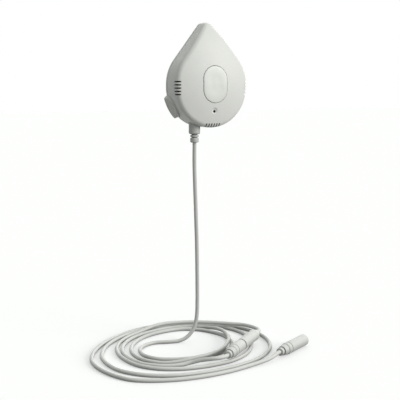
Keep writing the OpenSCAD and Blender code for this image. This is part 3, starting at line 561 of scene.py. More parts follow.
# steps are (radius, place along the axis), those of the grip with the radius measured from the barrel's
socketValues = {"neck": ((0, 0), (3.2, 0), (3.2, 3), (2.2, 3), (2.2, 3.8), (3.8, 3.8), (4.5, 8.5), (3.9, 8.5),
                         (3.9, 9.2)),
                "grip": ((-0.8, 9.2), (0, 10), (0, 13.5), (-0.5, 13.5), (-0.5, 14.2), (0, 14.2)),
                "barrel": 4.85, "bore": 1.8, "boreDeep": 15, "edge": 0.8, "mouth": 0.35, "soft": 0.35}
lineValues = {"at": (-18.5, -76.3, floorLevel + 8.5), "yaw": 37, "socketLong": 29, "plugLong": 35,
              "seamDeep": 1.5, "seamLong": 1.2, "taper": 5, "tail": 3.4, "soft": 0.3}
endValues = {"at": (28.1, -80.5, floorLevel + 4.85), "yaw": 26, "long": 41.5}


def heading(yaw):
    # level direction at an angle from +X
    a = math.radians(yaw)
    return np.array([math.cos(a), math.sin(a), 0.0])


def makeLeadPlug():
    # collar under the housing, then a relief with two grooves
    v = plugValues
    c, e, r, relief, groove = v["collarEnd"], v["end"], v["collar"], v["relief"], v["groove"]
    bandTop = c - v["grooveHigh"]
    bandEnd = bandTop - v["bandHigh"]
    tailTop = bandEnd - v["grooveHigh"]
    corners = [(0, v["top"]), (r - v["topEase"], v["top"]), (r, v["top"] - v["topEase"]), (r, c + v["lowEase"]),
               (r - v["lowEase"], c), (groove, c), (groove, bandTop), (relief, bandTop),
               (relief, bandEnd), (groove, bandEnd), (groove, tailTop), (relief, tailTop),
               (relief, e + v["tailEase"]), (relief - v["tailEase"], e), (0, e)]
    at = (v["across"], -v["depth"], 0)
    return addPiece("leadPlug", turned(softProfile(corners, v["soft"]), at, (0, 0, 1), (1, 0, 0)))


def lying(corners, soft, at, yaw):
    # softened profile turned about a level axis
    axis = heading(yaw)
    return turned(softProfile(corners, soft), at, axis, np.cross((0, 0, 1), axis))


def socketSkin(at, yaw, length):
    # stepped neck, barrel with a groove, and a bore from the open end
    v = socketValues
    r, bore, edge, mouth, floor = v["barrel"], v["bore"], v["edge"], v["mouth"], length - v["boreDeep"]
    grip = [(r + more, along) for more, along in v["grip"]]
    corners = [*v["neck"], *grip, (r, length - edge), (r - edge, length), (bore + mouth, length),
               (bore, length - mouth), (bore, floor), (0, floor)]
    return lying(corners, v["soft"], at, yaw)


def makeSensingPlug():
    # seam towards the socket, barrel, and a taper down to the cord
    v, r = lineValues, socketValues["barrel"]
    neck, seam, long = r - v["seamDeep"], v["seamLong"], v["plugLong"]
    corners = [(0, 0), (neck, 0), (neck, seam), (r, seam), (r, long - v["taper"]), (v["tail"], long), (0, long)]
    at = np.array(v["at"]) + v["socketLong"] * heading(v["yaw"])
    return addPiece("sensingPlug", lying(corners, v["soft"], at, v["yaw"]))


leadPlug = makeLeadPlug()
leadSocket = addPiece("leadSocket", socketSkin(lineValues["at"], lineValues["yaw"], lineValues["socketLong"]))
sensingPlug = makeSensingPlug()
endSocket = addPiece("endSocket", socketSkin(endValues["at"], endValues["yaw"], endValues["long"]))
print("plugs and sockets made")


# cords: one smooth curve through the route's stations, and a round tube along it

cordValues = {"radius": 1.65, "straight": 3.5, "coilMiddle": (-26.9, -24.5), "dropTurn": -15, "landing": -21,
              "sides": 16, "perSpan": 7, "crease": 60}
# hanging stretch: way along the turn of the drop, height above the floor
dropRoute = ((0, 150), (1, 118), (2, 84), (2.4, 52), (2.4, 34), (2, 24), (0.4, 15), (-3, 8.5), (-8, 4), (-14, 1.9))
# stations: turn in degrees, reach from the coil's middle, lift above the floor
leadStations = (
    (126, 31, 0), (142, 36, 0), (160, 39.5, 0), (182, 40.5, 0), (202, 38, 0),
    (222, 33, 0), (246, 29, 0), (270, 28, 0), (292, 29.5, 0), (314, 33, 0), (336, 37, 0),
    (356, 41, 0), (376, 45.5, 0), (392, 49, 0), (410, 53, 0), (427, 54, 0), (446, 51, 0),
    (466, 48.5, 0), (486, 47, 0), (508, 46.5, 0), (530, 47, 0), (552, 47.5, 0), (574, 45, 0),
    (594, 41, 1.2), (612, 37.8, 3.4), (626, 36.4, 4), (638, 35.1, 4), (651, 34, 4), (668, 32.8, 4),
    (685, 32.8, 4), (699, 34.8, 4), (709, 37, 4), (719, 39.6, 4), (729, 42.8, 4), (739, 46.8, 4),
    (746, 50.2, 3.4), (754, 54.8, 2.3), (763, 59.6, 0.8), (771, 61.8, 0.1), (780, 62.4, 0), (798, 60, 0),
    (816, 56, 0), (834, 54.5, 0), (854, 54, 0), (876, 54, 0), (898, 54.5, 0), (920, 54.5, 0),
    (938, 51.5, 0), (953, 48.2, 0.6), (965, 46, 2.2))
# stretches beside a connector: place, and share of the connector's height
leadApproach = ((-40, -70.8, 0.72), (-34, -76.3, 0.92), (-28, -79.2, 1))
sensingLeave = ((42.9, -26.4, 0.85), (45.4, -14.5, 0.73))
sensingStations = (
    (18, 72.2, 4.4), (27.5, 68, 4.3), (36, 65.3, 4.3), (45, 63.6, 4.3), (56, 62.4, 4.3), (68, 61.6, 4.2),
    (80, 61.2, 4.2), (90, 60.9, 3.4), (100, 60.4, 1.6), (112, 59.8, 0.2), (124, 59.4, 0), (140, 59, 0),
    (158, 58.5, 0), (178, 58.5, 0), (200, 59.5, 0), (218, 58, 0), (236, 54.5, 0), (254, 51, 0), (272, 49.5, 0),
    (290, 50, 0), (310, 51, 0), (330, 53, 0), (348, 57, 0), (366, 62, 0), (382, 66, 0), (398, 68, 0),
    (416, 68, 0), (434, 66.3, 0), (452, 65, 0), (472, 64.4, 0), (492, 65.4, 0), (512, 68.6, 0),
    (534, 73.5, 0), (556, 77, 0), (574, 75.5, 0), (592, 70.5, 0), (610, 65, 0), (630, 62, 0),
    (650, 62.5, 0), (670, 65.5, 0), (690, 69, 0), (708, 72, 0), (724, 74, 0), (740, 74.6, 0),
    (756, 73.8, 0), (774, 73, 0), (792, 71.2, 0), (812, 69.5, 0), (832, 68.7, 0), (852, 69.8, 0),
    (863, 71.9, 0), (874, 75, 0), (886, 79.4, 0), (898, 83.6, 0), (910, 86.2, 0), (922, 88, 0),
    (932, 88.6, 0), (940, 86.2, 0), (949, 81.9, 0), (958, 77.8, 0), (967, 74.1, 0), (976, 71.2, 0),
    (985, 69.2, 0), (994, 68.1, 0), (1010, 69, 0.4))
sensingArrive = ((14.1, -86.5, 0.66),)


def onFloor(stations):
    # polar place round the coil's middle, with the tube's own radius above the floor
    s = np.array(stations, float)
    a = np.radians(s[:, 0])
    middle = cordValues["coilMiddle"]
    return np.stack([middle[0] + s[:, 1] * np.cos(a), middle[1] + s[:, 1] * np.sin(a),
                     s[:, 2] + cordValues["radius"] + floorLevel], -1)


def besideConnector(stretch, at):
    # height above the floor is a share of the connector's
    s = np.array(stretch, float)
    return np.stack([s[:, 0], s[:, 1], s[:, 2] * (at[2] - floorLevel) + floorLevel], -1)


def smoothRoute(p):
    # cubic through four neighbouring stations at a time, the same number of steps in each span
    p = np.asarray(p, float)
    ends = np.concatenate([p[:1], p, p[-1:]])
    a, b, c, d = (ends[i:len(p) - 1 + i, None] for i in range(4))
    f = np.linspace(0, 1, cordValues["perSpan"], endpoint=False)[None, :, None]
    curve = 0.5 * (2 * b + (c - a) * f + (2 * a - 5 * b + 4 * c - d) * f ** 2 + (3 * b - a - 3 * c + d) * f ** 3)
    curve = np.concatenate([curve.reshape(-1, 3), p[-1:]])
    curve[:, 2] = np.maximum(curve[:, 2], cordValues["radius"] + floorLevel)
    return curve


def cordTube(name, path, level):
    # circle carried along the path, square to it; the map runs once round and in metres along
    r, cols = cordValues["radius"], cordValues["sides"]
    ahead = np.gradient(path, axis=0)
    ahead /= np.linalg.norm(ahead, axis=1)[:, None]
    side = level - (level * ahead).sum(1)[:, None] * ahead
    side /= np.linalg.norm(side, axis=1)[:, None]
    over = np.cross(ahead, side)
    a = np.linspace(0, 2 * math.pi, cols, endpoint=False)[None, :, None]
    rings = path[:, None] + r * (np.cos(a) * side[:, None] + np.sin(a) * over[:, None])
    along = np.concatenate([[0], np.cumsum(np.linalg.norm(np.diff(path, axis=0), axis=1))]) * mm
    i, j = np.meshgrid(np.arange(len(path) - 1), np.arange(cols), indexing="ij")
    u = np.stack([j, j + 1, j + 1, j], -1) / cols
    v = along[np.stack([i, i, i + 1, i + 1], -1)]
    wall = np.stack([u, v], -1).reshape(-1)
    caps = np.zeros(2 * cols * 3 * 2)      # two fans of triangles, with no map of their own
    skin = ringSkin(rings, path[0], path[-1])
    return addPiece(name, skin, cordValues["crease"], np.concatenate([wall, caps])), along[-1]


def leadPath():
    # straight out of the plug, down to the floor, round the coil and into the socket
    v, p = cordValues, plugValues
    turn, axis = heading(v["dropTurn"]), heading(lineValues["yaw"])
    exitAt = np.array([p["across"], -p["depth"], p["end"]])
    s = np.array(dropRoute, float)
    hang = np.array([p["across"], -p["depth"], floorLevel]) + s[:, :1] * turn + s[:, 1:] * np.array([0, 0, 1.0])
    landing = np.array([p["across"], -p["depth"], v["radius"] + floorLevel]) + v["landing"] * turn
    join = np.array(lineValues["at"])
    step = v["straight"] * turn
    path = smoothRoute(np.concatenate([
        [exitAt, exitAt - [0, 0, v["straight"]]], hang, [landing + step, landing, landing - step],
        onFloor(leadStations), besideConnector(leadApproach, join), [join - v["straight"] * axis, join]]))
    # the hanging stretch, down to the landing, keeps one level side; the coil takes its side from the floor
    level = np.cross([0, 0, 1.0], np.gradient(path, axis=0))
    level[:(2 + len(hang) + 1) * v["perSpan"]] = [turn[1], -turn[0], 0]
    return path, level


def sensingPath():
    # straight out of the plug, round the coil and into the end socket
    v, line = cordValues, lineValues
    axis, endAxis = heading(line["yaw"]), heading(endValues["yaw"])
    start = np.array(line["at"]) + (line["socketLong"] + line["plugLong"]) * axis
    finish = np.array(endValues["at"])
    path = smoothRoute(np.concatenate([
        [start, start + v["straight"] * axis], besideConnector(sensingLeave, start), onFloor(sensingStations),
        besideConnector(sensingArrive, finish), [finish - v["straight"] * endAxis, finish]]))
    return path, np.cross([0, 0, 1.0], np.gradient(path, axis=0))


leadLine, leadSide = leadPath()
leadCord, leadLength = cordTube("leadCord", leadLine, leadSide)
sensingLine, sensingSide = sensingPath()
sensingCord, sensingLength = cordTube("sensingCord", sensingLine, sensingSide)
print("cords:", round(leadLength, 4), "m and", round(sensingLength, 4), "m")


# finishes

def nodeGroup(name, inputs, outputs):
    # group of nodes with number sockets, its inputs at their usual values
    tree = bpy.data.node_groups.new(name, "ShaderNodeTree")
    for label, value in inputs:
        tree.interface.new_socket(name=label, in_out="INPUT", socket_type="NodeSocketFloat").default_value = value
    for label in outputs:
        tree.interface.new_socket(name=label, in_out="OUTPUT", socket_type="NodeSocketFloat")
    return tree, tree.nodes.new("NodeGroupInput"), tree.nodes.new("NodeGroupOutput")


def feed(socket, value):
    # a number is set on the socket itself, an output is linked to it
    if isinstance(value, (int, float)):
        socket.default_value = value
    else:
        socket.id_data.links.new(value, socket)


def mathNode(tree, operation, *values):
    node = tree.nodes.new("ShaderNodeMath")
    node.operation = operation
    for socket, value in zip(node.inputs, values):
        feed(socket, value)
    return node.outputs[0]


def spread(tree, mask, low, high, fromLow=0.3, fromHigh=0.7):
    # the mask's range is stretched to the bounds low and high
    node = tree.nodes.new("ShaderNodeMapRange")
    for label, value in (("From Min", fromLow), ("From Max", fromHigh), ("To Min", low), ("To Max", high)):
        node.inputs[label].default_value = value
    feed(node.inputs["Value"], mask)
    return node.outputs[0]


def noiseNode(tree, vector, scale, detail, rough=0.5):
    node = tree.nodes.new("ShaderNodeTexNoise")
    for label, value in (("Vector", vector), ("Scale", scale), ("Detail", detail), ("Roughness", rough)):
        feed(node.inputs[label], value)
    return node.outputs["Fac"]


def objectPlace(tree):
    return tree.nodes.new("ShaderNodeTexCoord").outputs["Object"]


def splitVector(tree, vector):
    node = tree.nodes.new("ShaderNodeSeparateXYZ")
    feed(node.inputs[0], vector)
    return node.outputs


def makeMouldGrain():
    # spark-eroded mould texture: fine pits, and broad clouds for handling and flow marks
    tree, source, sink = nodeGroup("mouldGrain", [("Grain Scale", 2400), ("Cloud Scale", 60)],
                                   ["Height", "Cloud", "Fleck"])
    place, grain, cloud = objectPlace(tree), source.outputs["Grain Scale"], source.outputs["Cloud Scale"]
    fleck = mathNode(tree, "MULTIPLY", grain, 0.35)     # flecks are about three times as wide as the grain
    feed(sink.inputs["Height"], noiseNode(tree, place, grain, detail=3, rough=0.6))
    feed(sink.inputs["Cloud"], noiseNode(tree, place, cloud, detail=4, rough=0.55))
    feed(sink.inputs["Fleck"], noiseNode(tree, place, fleck, detail=2))
    return tree


def makeDrawnMetal():
    # streaks: noise that is stretched along one axis
    tree, source, sink = nodeGroup("drawnMetal", [("Scale", 400), ("Stretch", 0.08)], ["Streak", "Cloud"])
    place = objectPlace(tree)
    x, y, z = splitVector(tree, place)
    long = tree.nodes.new("ShaderNodeCombineXYZ")
    for socket, value in zip(long.inputs, (mathNode(tree, "MULTIPLY", x, source.outputs["Stretch"]), y, z)):
        feed(socket, value)
    feed(sink.inputs["Streak"], noiseNode(tree, long.outputs[0], source.outputs["Scale"], detail=4))
    feed(sink.inputs["Cloud"], noiseNode(tree, place, scale=120, detail=3))
    return tree


def makeJacketWeave():
    # two families of strands wound opposite ways round the cord; the higher strand shows
    tree, source, sink = nodeGroup("jacketWeave", [("Strands", 8), ("Per Metre", 700)], ["Height", "ValleyShade"])
    uv = tree.nodes.new("ShaderNodeUVMap")
    uv.uv_map = "run"
    split = splitVector(tree, uv.outputs[0])
    around = mathNode(tree, "MULTIPLY", split["X"], source.outputs["Strands"])
    along = mathNode(tree, "MULTIPLY", split["Y"], source.outputs["Per Metre"])
    waves = []
    for sign in ("ADD", "SUBTRACT"):
        phase = mathNode(tree, "MULTIPLY", mathNode(tree, sign, around, along), math.pi)
        waves.append(mathNode(tree, "ABSOLUTE", mathNode(tree, "SINE", phase)))
    height = mathNode(tree, "MAXIMUM", *waves)
    feed(sink.inputs["Height"], height)
    # the height cubed widens the painted shade of the valleys
    feed(sink.inputs["ValleyShade"], mathNode(tree, "POWER", height, 3))
    return tree


def makePaintedShade():
    # painted shade: colour darker in grooves narrower than the reach, and on undersides
    tree, values, out = nodeGroup("paintedShade", (("Reach", 0.002), ("Groove", 0.5), ("Under", 0.3)), ("Unshaded",))
    hidden = tree.nodes.new("ShaderNodeAmbientOcclusion")
    hidden.samples = 8
    hidden.only_local = True
    feed(hidden.inputs["Distance"], values.outputs["Reach"])
    groove = spread(tree, hidden.outputs["AO"], 1, 0, fromLow=0.35, fromHigh=0.85)
    normal = splitVector(tree, tree.nodes.new("ShaderNodeNewGeometry").outputs["Normal"])
    under = spread(tree, normal["Z"], 1, 0, fromLow=-0.3, fromHigh=0.7)
    # unshaded = (1 - groove share) (1 - under share), the share left after the painted shade
    shares = [mathNode(tree, "SUBTRACT", 1, mathNode(tree, "MULTIPLY", mask, values.outputs[label]))
              for mask, label in ((groove, "Groove"), (under, "Under"))]
    feed(out.inputs["Unshaded"], mathNode(tree, "MULTIPLY", *shares))
    return tree


mouldGrain, drawnMetal, jacketWeave = makeMouldGrain(), makeDrawnMetal(), makeJacketWeave()
# group that paints shade into grooves and onto undersides
paintedShade = makePaintedShade()


def blankTree(owner):
    # node tree of a material or a world, emptied
    owner.use_nodes = True
    owner.node_tree.nodes.clear()
    return owner.node_tree


def startFinish(name, **sockets):
    # material with one principled shader; a constant is set on the shader's own socket
    finish = bpy.data.materials.new(name)
    tree = blankTree(finish)
    shader = tree.nodes.new("ShaderNodeBsdfPrincipled")
    for label, value in sockets.items():
        shader.inputs[label.replace("_", " ")].default_value = value
    feed(tree.nodes.new("ShaderNodeOutputMaterial").inputs["Surface"], shader.outputs[0])
    return finish, tree, shader


def placeGroup(tree, group, **values):
    node = tree.nodes.new("ShaderNodeGroup")
    node.node_tree = group
    for label, value in values.items():
        node.inputs[label.replace("_", " ")].default_value = value
    return node


def mixColours(tree, mask, dark, light):
    # colour between two shades by a mask; a shade is a colour or another node's output
    mix = tree.nodes.new("ShaderNodeMix")
    mix.data_type = "RGBA"
    feed(mix.inputs["Factor"], mask)
    for label, shade in (("A", dark), ("B", light)):
        if isinstance(shade, (tuple, list)):
            mix.inputs[label].default_value = (*shade, 1)
        else:
            feed(mix.inputs[label], shade)
    return mix.outputs["Result"]


def clouded(tree, group, colour, dark):
    # the colour, darker by a share where the group's clouds are thin
    return mixColours(tree, spread(tree, group.outputs["Cloud"], 0, 1), [c * dark for c in colour], colour)


def roughen(tree, mask, low, high, shader):
    # roughness between two bounds by a mask
    feed(shader.inputs["Roughness"], spread(tree, mask, low, high))


def bump(tree, height, shader, distance):
    node = tree.nodes.new("ShaderNodeBump")
    node.inputs["Distance"].default_value = distance
    node.inputs["Strength"].default_value = 1
    feed(node.inputs["Height"], height)
    feed(shader.inputs["Normal"], node.outputs[0])


def addPaintedShade(tree, colour, shader, groove, under):
    # the colour times the unshaded share: painted shade in grooves and on undersides
    unshaded = placeGroup(tree, paintedShade, Groove=groove, Under=under)
    shade = tree.nodes.new("ShaderNodeVectorMath")
    shade.operation = "SCALE"
    feed(shade.inputs[0], colour)
    feed(shade.inputs["Scale"], unshaded.outputs["Unshaded"])
    feed(shader.inputs["Base Color"], shade.outputs[0])


def plastic(name, colour, rough, grain=2400, cloud=60, deep=0.00002, vary=0.03, groove=0.5, under=0.0,
            less=0.05, more=0.06, **sockets):
    # moulded plastic: fine grain, faint clouds in shade, flecks in gloss, and painted shade in grooves and on
    # undersides
    finish, tree, shader = startFinish(name, **sockets)
    group = placeGroup(tree, mouldGrain, Grain_Scale=grain, Cloud_Scale=cloud)
    # painted shade: darker in grooves by the groove share and on undersides by the under share
    addPaintedShade(tree, clouded(tree, group, colour, 1 - vary), shader, groove, under)
    roughen(tree, group.outputs["Fleck"], rough - less, rough + more, shader)
    bump(tree, group.outputs["Height"], shader, deep)
    return finish


def metal(name, colour, rough, scale=400, stretch=0.08, deep=0.00001, vary=0.14, less=0.08, more=0.1):
    # drawn metal: streaks in gloss and height, clouds in shade
    finish, tree, shader = startFinish(name, Metallic=1.0)
    group = placeGroup(tree, drawnMetal, Scale=scale, Stretch=stretch)
    feed(shader.inputs["Base Color"], clouded(tree, group, colour, 1 - vary))
    roughen(tree, group.outputs["Streak"], rough - less, rough + more, shader)
    bump(tree, group.outputs["Streak"], shader, deep)
    return finish


# dark is the painted shade in the weave's valleys; groove and under set the painted shade in grooves and on
# undersides
weaveValues = {"strands": 10, "perMetre": 900, "grain": 3000, "cloud": 45, "dark": 0.9, "groove": 0.2, "under": 0.3,
               "less": 0.05, "more": 0.08, "deep": 0.00006}


def wovenJacket(name, colour, rough):
    # strands stand out a little, with painted shade in the valleys where they cross under, and in grooves and on
    # undersides
    v = weaveValues
    finish, tree, shader = startFinish(name)
    weave = placeGroup(tree, jacketWeave, Strands=v["strands"], Per_Metre=v["perMetre"])
    group = placeGroup(tree, mouldGrain, Grain_Scale=v["grain"], Cloud_Scale=v["cloud"])
    # painted shade: the weave's valleys darker
    colour = mixColours(tree, weave.outputs["ValleyShade"], [c * v["dark"] for c in colour], colour)
    addPaintedShade(tree, colour, shader, v["groove"], v["under"])
    roughen(tree, group.outputs["Cloud"], rough - v["less"], rough + v["more"], shader)
    bump(tree, weave.outputs["Height"], shader, v["deep"])
    return finish


boardValues = {"runs": {"Scale": 130, "Mortar Size": 0.03, "Brick Width": 0.9, "Row Height": 0.35,
                        "Color1": (0.012, 0.13, 0.05, 1), "Color2": (0.014, 0.15, 0.055, 1),
                        "Mortar": (0.03, 0.25, 0.09, 1)},
               "padScale": 170, "padReach": 0.16, "padColour": (0.62, 0.6, 0.54), "rough": 0.36, "padRough": 0.26,
               "deep": 0.00003}


def boardFinish():
    # green resist with copper runs under it, and bare pads on a coarse grid
    v = boardValues
    finish, tree, shader = startFinish("boardFinish")
    turn = tree.nodes.new("ShaderNodeMapping")
    turn.inputs["Rotation"].default_value = (math.pi / 2, 0, 0)
    feed(turn.inputs["Vector"], objectPlace(tree))
    bricks = tree.nodes.new("ShaderNodeTexBrick")
    feed(bricks.inputs["Vector"], turn.outputs[0])
    for label, value in v["runs"].items():
        bricks.inputs[label].default_value = value
    cells = tree.nodes.new("ShaderNodeTexVoronoi")
    cells.inputs["Scale"].default_value = v["padScale"]
    feed(cells.inputs["Vector"], turn.outputs[0])
    pads = mathNode(tree, "LESS_THAN", cells.outputs["Distance"], v["padReach"])
    feed(shader.inputs["Base Color"], mixColours(tree, pads, bricks.outputs["Color"], v["padColour"]))
    feed(shader.inputs["Roughness"], spread(tree, pads, v["rough"], v["padRough"], 0, 1))
    bump(tree, bricks.outputs["Fac"], shader, v["deep"])
    return finish


cellValues = {"bandFrom": 0.0085, "sleeve": (0.10, 0.16, 0.36), "band": (0.03, 0.04, 0.07), "coat": 0.3,
              "grain": 900, "cloud": 80, "rough": (0.26, 0.38), "deep": 0.00001}


def cellFinish():
    # printed sleeve in one colour with a darker band at the positive end
    v = cellValues
    finish, tree, shader = startFinish("cellFinish", Coat_Weight=v["coat"])
    band = mathNode(tree, "GREATER_THAN", splitVector(tree, objectPlace(tree))["X"], v["bandFrom"])
    feed(shader.inputs["Base Color"], mixColours(tree, band, v["sleeve"], v["band"]))
    group = placeGroup(tree, mouldGrain, Grain_Scale=v["grain"], Cloud_Scale=v["cloud"])
    roughen(tree, group.outputs["Cloud"], *v["rough"], shader)
    bump(tree, group.outputs["Height"], shader, v["deep"])
    return finish


clearValues = {"through": 0.5, "ior": 1.15, "grain": 1200, "cloud": 200, "dark": 0.94, "less": 0.04, "more": 0.06}


def clearFinish(name, colour, rough):
    # pipe that lets part of the light through, in the colour it is given
    v = clearValues
    finish, tree, shader = startFinish(name, Transmission_Weight=v["through"], IOR=v["ior"])
    group = placeGroup(tree, mouldGrain, Grain_Scale=v["grain"], Cloud_Scale=v["cloud"])
    feed(shader.inputs["Base Color"], clouded(tree, group, colour, v["dark"]))
    roughen(tree, group.outputs["Fleck"], rough - v["less"], rough + v["more"], shader)
    return finish


# groove and under set each finish's painted shade in grooves and on undersides; plastics take groove 0.5 unless
# given
finishes = {
    "shell": plastic("shellFinish", (0.777, 0.779, 0.75), 0.46, Specular_IOR_Level=0.4),
    "cover": plastic("coverFinish", (0.73, 0.738, 0.702), 0.5),
    "tab": plastic("tabFinish", (0.68, 0.69, 0.655), 0.48),
    "button": plastic("buttonFinish", (0.775, 0.783, 0.748), 0.38, grain=3200, deep=0.00001),
    "board": boardFinish(),
    "black_plastic": plastic("blackPlastic", (0.022, 0.022, 0.024), 0.48, grain=1800),
    "dark_plastic": plastic("darkPlastic", (0.05, 0.052, 0.056), 0.52, grain=1800),
    "screw_steel": metal("screwSteel", (0.62, 0.62, 0.63), 0.32),
    "spring_steel": metal("springSteel", (0.6, 0.6, 0.62), 0.25, 700),
    "contact": metal("contactPlate", (0.66, 0.65, 0.62), 0.28, 500),
    "shield": metal("shieldCan", (0.64, 0.64, 0.65), 0.35, 300, 0.2),
    "brass": metal("goldRivet", (0.78, 0.58, 0.26), 0.28, 500),
    "pin_plating": metal("pinPlating", (0.8, 0.68, 0.42), 0.22, 600),
    "chip_white": plastic("chipWhite", (0.6, 0.6, 0.58), 0.5, grain=4000),
    "led_lens": plastic("lightLens", (0.75, 0.7, 0.42), 0.3, grain=4000, Coat_Weight=0.4),
    # the light pipe is near black: painted shade, so the pinhole reads as a dark hole
    "clear": clearFinish("pipeShadeDark", (0.01, 0.01, 0.011), 0.4),
    "cell_wrap": cellFinish(),
    "moulding": plastic("mouldingFinish", (0.72, 0.728, 0.70), 0.5, grain=2000, vary=0.04, groove=0.6, under=0.35),
    "lead_jacket": plastic("leadJacket", (0.725, 0.73, 0.705), 0.48, grain=1600, cloud=40, vary=0.05, groove=0.2,
                           under=0.3),
    "sensing_jacket": wovenJacket("sensingJacket", (0.76, 0.765, 0.74), 0.56)}

# nodes that have each finish
nodesOf = {
    "shell": ["front_shell"], "cover": ["rear_cover"], "tab": ["left_release_tab", "right_release_tab"],
    "button": ["front_button"], "board": ["main_board"], "shield": ["radio_module"], "clear": ["light_pipe"],
    "black_plastic": ["switch_plunger", "piezo_sounder", "jack_socket"],
    "dark_plastic": ["tact_switch", "battery_cradle"], "chip_white": ["climate_sensor"], "led_lens": ["status_led"],
    "screw_steel": ["board_screws", "cradle_screws"], "contact": ["positive_contact", "negative_contact"],
    "spring_steel": ["left_tab_spring", "right_tab_spring", "negative_spring"], "brass": ["sense_probes"],
    "pin_plating": ["probe_pins", "lead_plug_pin", "sensing_plug_pin"], "cell_wrap": ["battery_cell"],
    "moulding": ["lead_plug", "lead_socket", "sensing_plug", "end_socket"],
    "lead_jacket": ["lead_drop", "lead_coil"], "sensing_jacket": ["sensing_cord"]}
slotOf = {name: slot for slot, names in nodesOf.items() for name in names}
for name, node in nodes.items():
    node.data.materials.clear()
    node.data.materials.append(finishes[slotOf[name]])
print("finishes:", len(finishes))


# what each new piece moves with and stands for; it has the slot of what it stands for

dressed = (
    (frontShell, "detector", "front_shell"), (rearCover, "rear", "rear_cover"),
    (leftTab, "left_tab", "left_release_tab"), (rightTab, "right_tab", "right_release_tab"),
    (frontButton, "button", "front_button"), (leadPlug, "detector", "lead_plug"),
    (leadSocket, "detector", "lead_socket"), (sensingPlug, "detector", "sensing_plug"),
    (endSocket, "detector", "end_socket"), (leadCord, "detector", "lead_drop", "lead_coil"),
    (sensingCord, "detector", "sensing_cord"))
for piece, body, *stands in dressed:
    slot = slotOf[stands[0]]
    piece.data.materials.clear()
    piece.data.materials.append(finishes[slot])
    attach(piece, body)
    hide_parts(*stands)
for spring, side, word in ((leftSpring, -1, "left"), (rightSpring, 1, "right")):
    start, end = (tuple(point * mm) for point in springEnds(side))
    spring.data.materials.append(finishes["spring_steel"])
    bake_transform(spring)
    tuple(start)
    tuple(end)
    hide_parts(word + "_tab_spring")

# room: pale floor, white surroundings, a soft key, a softer lamp behind and an even fill

room = {"floorHalf": 6, "bounce": 0.26, "paint": 1.24, "shadowShare": 0.6,
        "fill": 0.2, "sky": 0.66, "fillTint": (0.95, 1.0, 0.96),
        "key": 2.15, "keySoft": 36, "keyFrom": (0.6, -0.82, 0.36),
        "rear": 0.8, "rearSoft": 60, "rearFrom": (0.5, 0.85, 0.3), "lampTint": (1.0, 0.995, 0.98)}
# the camera's place is in mm, its horizon and focal length in pixels of the photo
lensValues = {"yaw": -29, "back": 722, "across": 0.9, "up": 1.5, "horizon": 115, "focal": 850, "picture": 400,
              "sensor": 36, "near": 0.01}


def seenStraight(tree):
    # 1 for a ray from the camera, through something clear or off something glossy
    path = tree.nodes.new("ShaderNodeLightPath")
    clear = mathNode(tree, "MAXIMUM", path.outputs["Is Camera Ray"], path.outputs["Is Transmission Ray"])
    return mathNode(tree, "MAXIMUM", clear, path.outputs["Is Glossy Ray"])


def mixShaders(tree, share, first, second):
    # the first where the share is 0, the second where it is 1
    mix = tree.nodes.new("ShaderNodeMixShader")
    for socket, value in zip(mix.inputs, (share, first.outputs[0], second.outputs[0])):
        feed(socket, value)
    return mix


def flatPaint(tree, kind, colour):
    node = tree.nodes.new(kind)
    node.inputs["Color"].default_value = (*colour, 1)
    return node


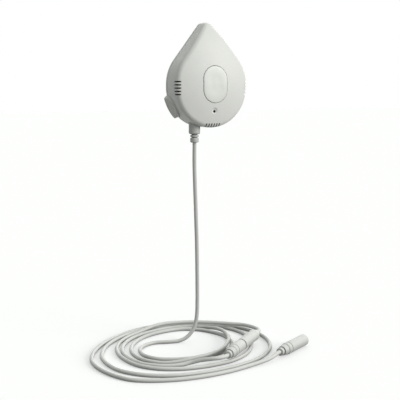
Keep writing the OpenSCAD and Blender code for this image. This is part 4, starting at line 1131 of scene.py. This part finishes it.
def makeFloor():
    mesh = bpy.data.meshes.new("floor")
    half = room["floorHalf"]
    corners = [(x, y, floorLevel * mm) for x in (-half, half) for y in (-half, half)]
    mesh.from_pydata(corners, [], [[0, 2, 3, 1]])
    floor = bpy.data.objects.new("floor", mesh)
    scene.collection.objects.link(floor)
    finish = bpy.data.materials.new("floorFinish")
    tree = blankTree(finish)
    # what the object receives from the floor, and what the camera sees of it
    bounce = flatPaint(tree, "ShaderNodeBsdfDiffuse", (room["bounce"],) * 3)
    paint = flatPaint(tree, "ShaderNodeBsdfDiffuse", (room["paint"],) * 3)
    glow = flatPaint(tree, "ShaderNodeEmission", (1, 1, 1))
    seen = mixShaders(tree, 1 - room["shadowShare"], paint, glow)
    mix = mixShaders(tree, seenStraight(tree), bounce, seen)
    feed(tree.nodes.new("ShaderNodeOutputMaterial").inputs["Surface"], mix.outputs[0])
    mesh.materials.append(finish)


def makeWorld():
    world = bpy.data.worlds.new("room")
    scene.world = world
    tree = blankTree(world)
    fill = flatPaint(tree, "ShaderNodeBackground", room["fillTint"])
    # the fill grows from the horizon up to the sky overhead
    up = splitVector(tree, tree.nodes.new("ShaderNodeTexCoord").outputs["Generated"])["Z"]
    feed(fill.inputs["Strength"], spread(tree, up, room["fill"], room["sky"], 0, 1))
    white = flatPaint(tree, "ShaderNodeBackground", (1, 1, 1))
    mix = mixShaders(tree, seenStraight(tree), fill, white)
    feed(tree.nodes.new("ShaderNodeOutputWorld").inputs["Surface"], mix.outputs[0])


def makeLamp(name, strength, soft, comesFrom):
    # far lamp that shines from a direction; its width softens the shadows
    light = bpy.data.lights.new(name, "SUN")
    light.energy = strength
    light.angle = math.radians(soft)
    light.color = room["lampTint"]
    lamp = bpy.data.objects.new(name, light)
    x, y, z = comesFrom
    lamp.rotation_euler = (math.atan2(math.hypot(x, y), z), 0, math.atan2(x, -y))
    scene.collection.objects.link(lamp)


def makeCamera():
    # yaw about the vertical, then tilted down until the horizon is as many pixels above the middle as in the photo
    v = lensValues
    a = math.radians(v["yaw"])
    right, ahead = np.array([math.cos(a), math.sin(a), 0]), np.array([-math.sin(a), math.cos(a), 0])
    lens = bpy.data.cameras.new("photoCamera")
    lens.sensor_width = v["sensor"]
    lens.lens = v["sensor"] * v["focal"] / v["picture"]
    lens.clip_start = v["near"]
    camera = bpy.data.objects.new("photoCamera", lens)
    camera.location = (np.array([0, 0, v["up"]]) - right * v["across"] - ahead * v["back"]) * mm
    camera.rotation_euler = (math.pi / 2 - math.atan(v["horizon"] / v["focal"]), 0, a)
    scene.collection.objects.link(camera)
    scene.camera = camera


makeFloor()
makeWorld()
for word in ("key", "rear"):
    makeLamp(word + "Lamp", room[word], room[word + "Soft"], room[word + "From"])
makeCamera()
scene.view_settings.view_transform = "Standard"
print("room, lamps and camera set")
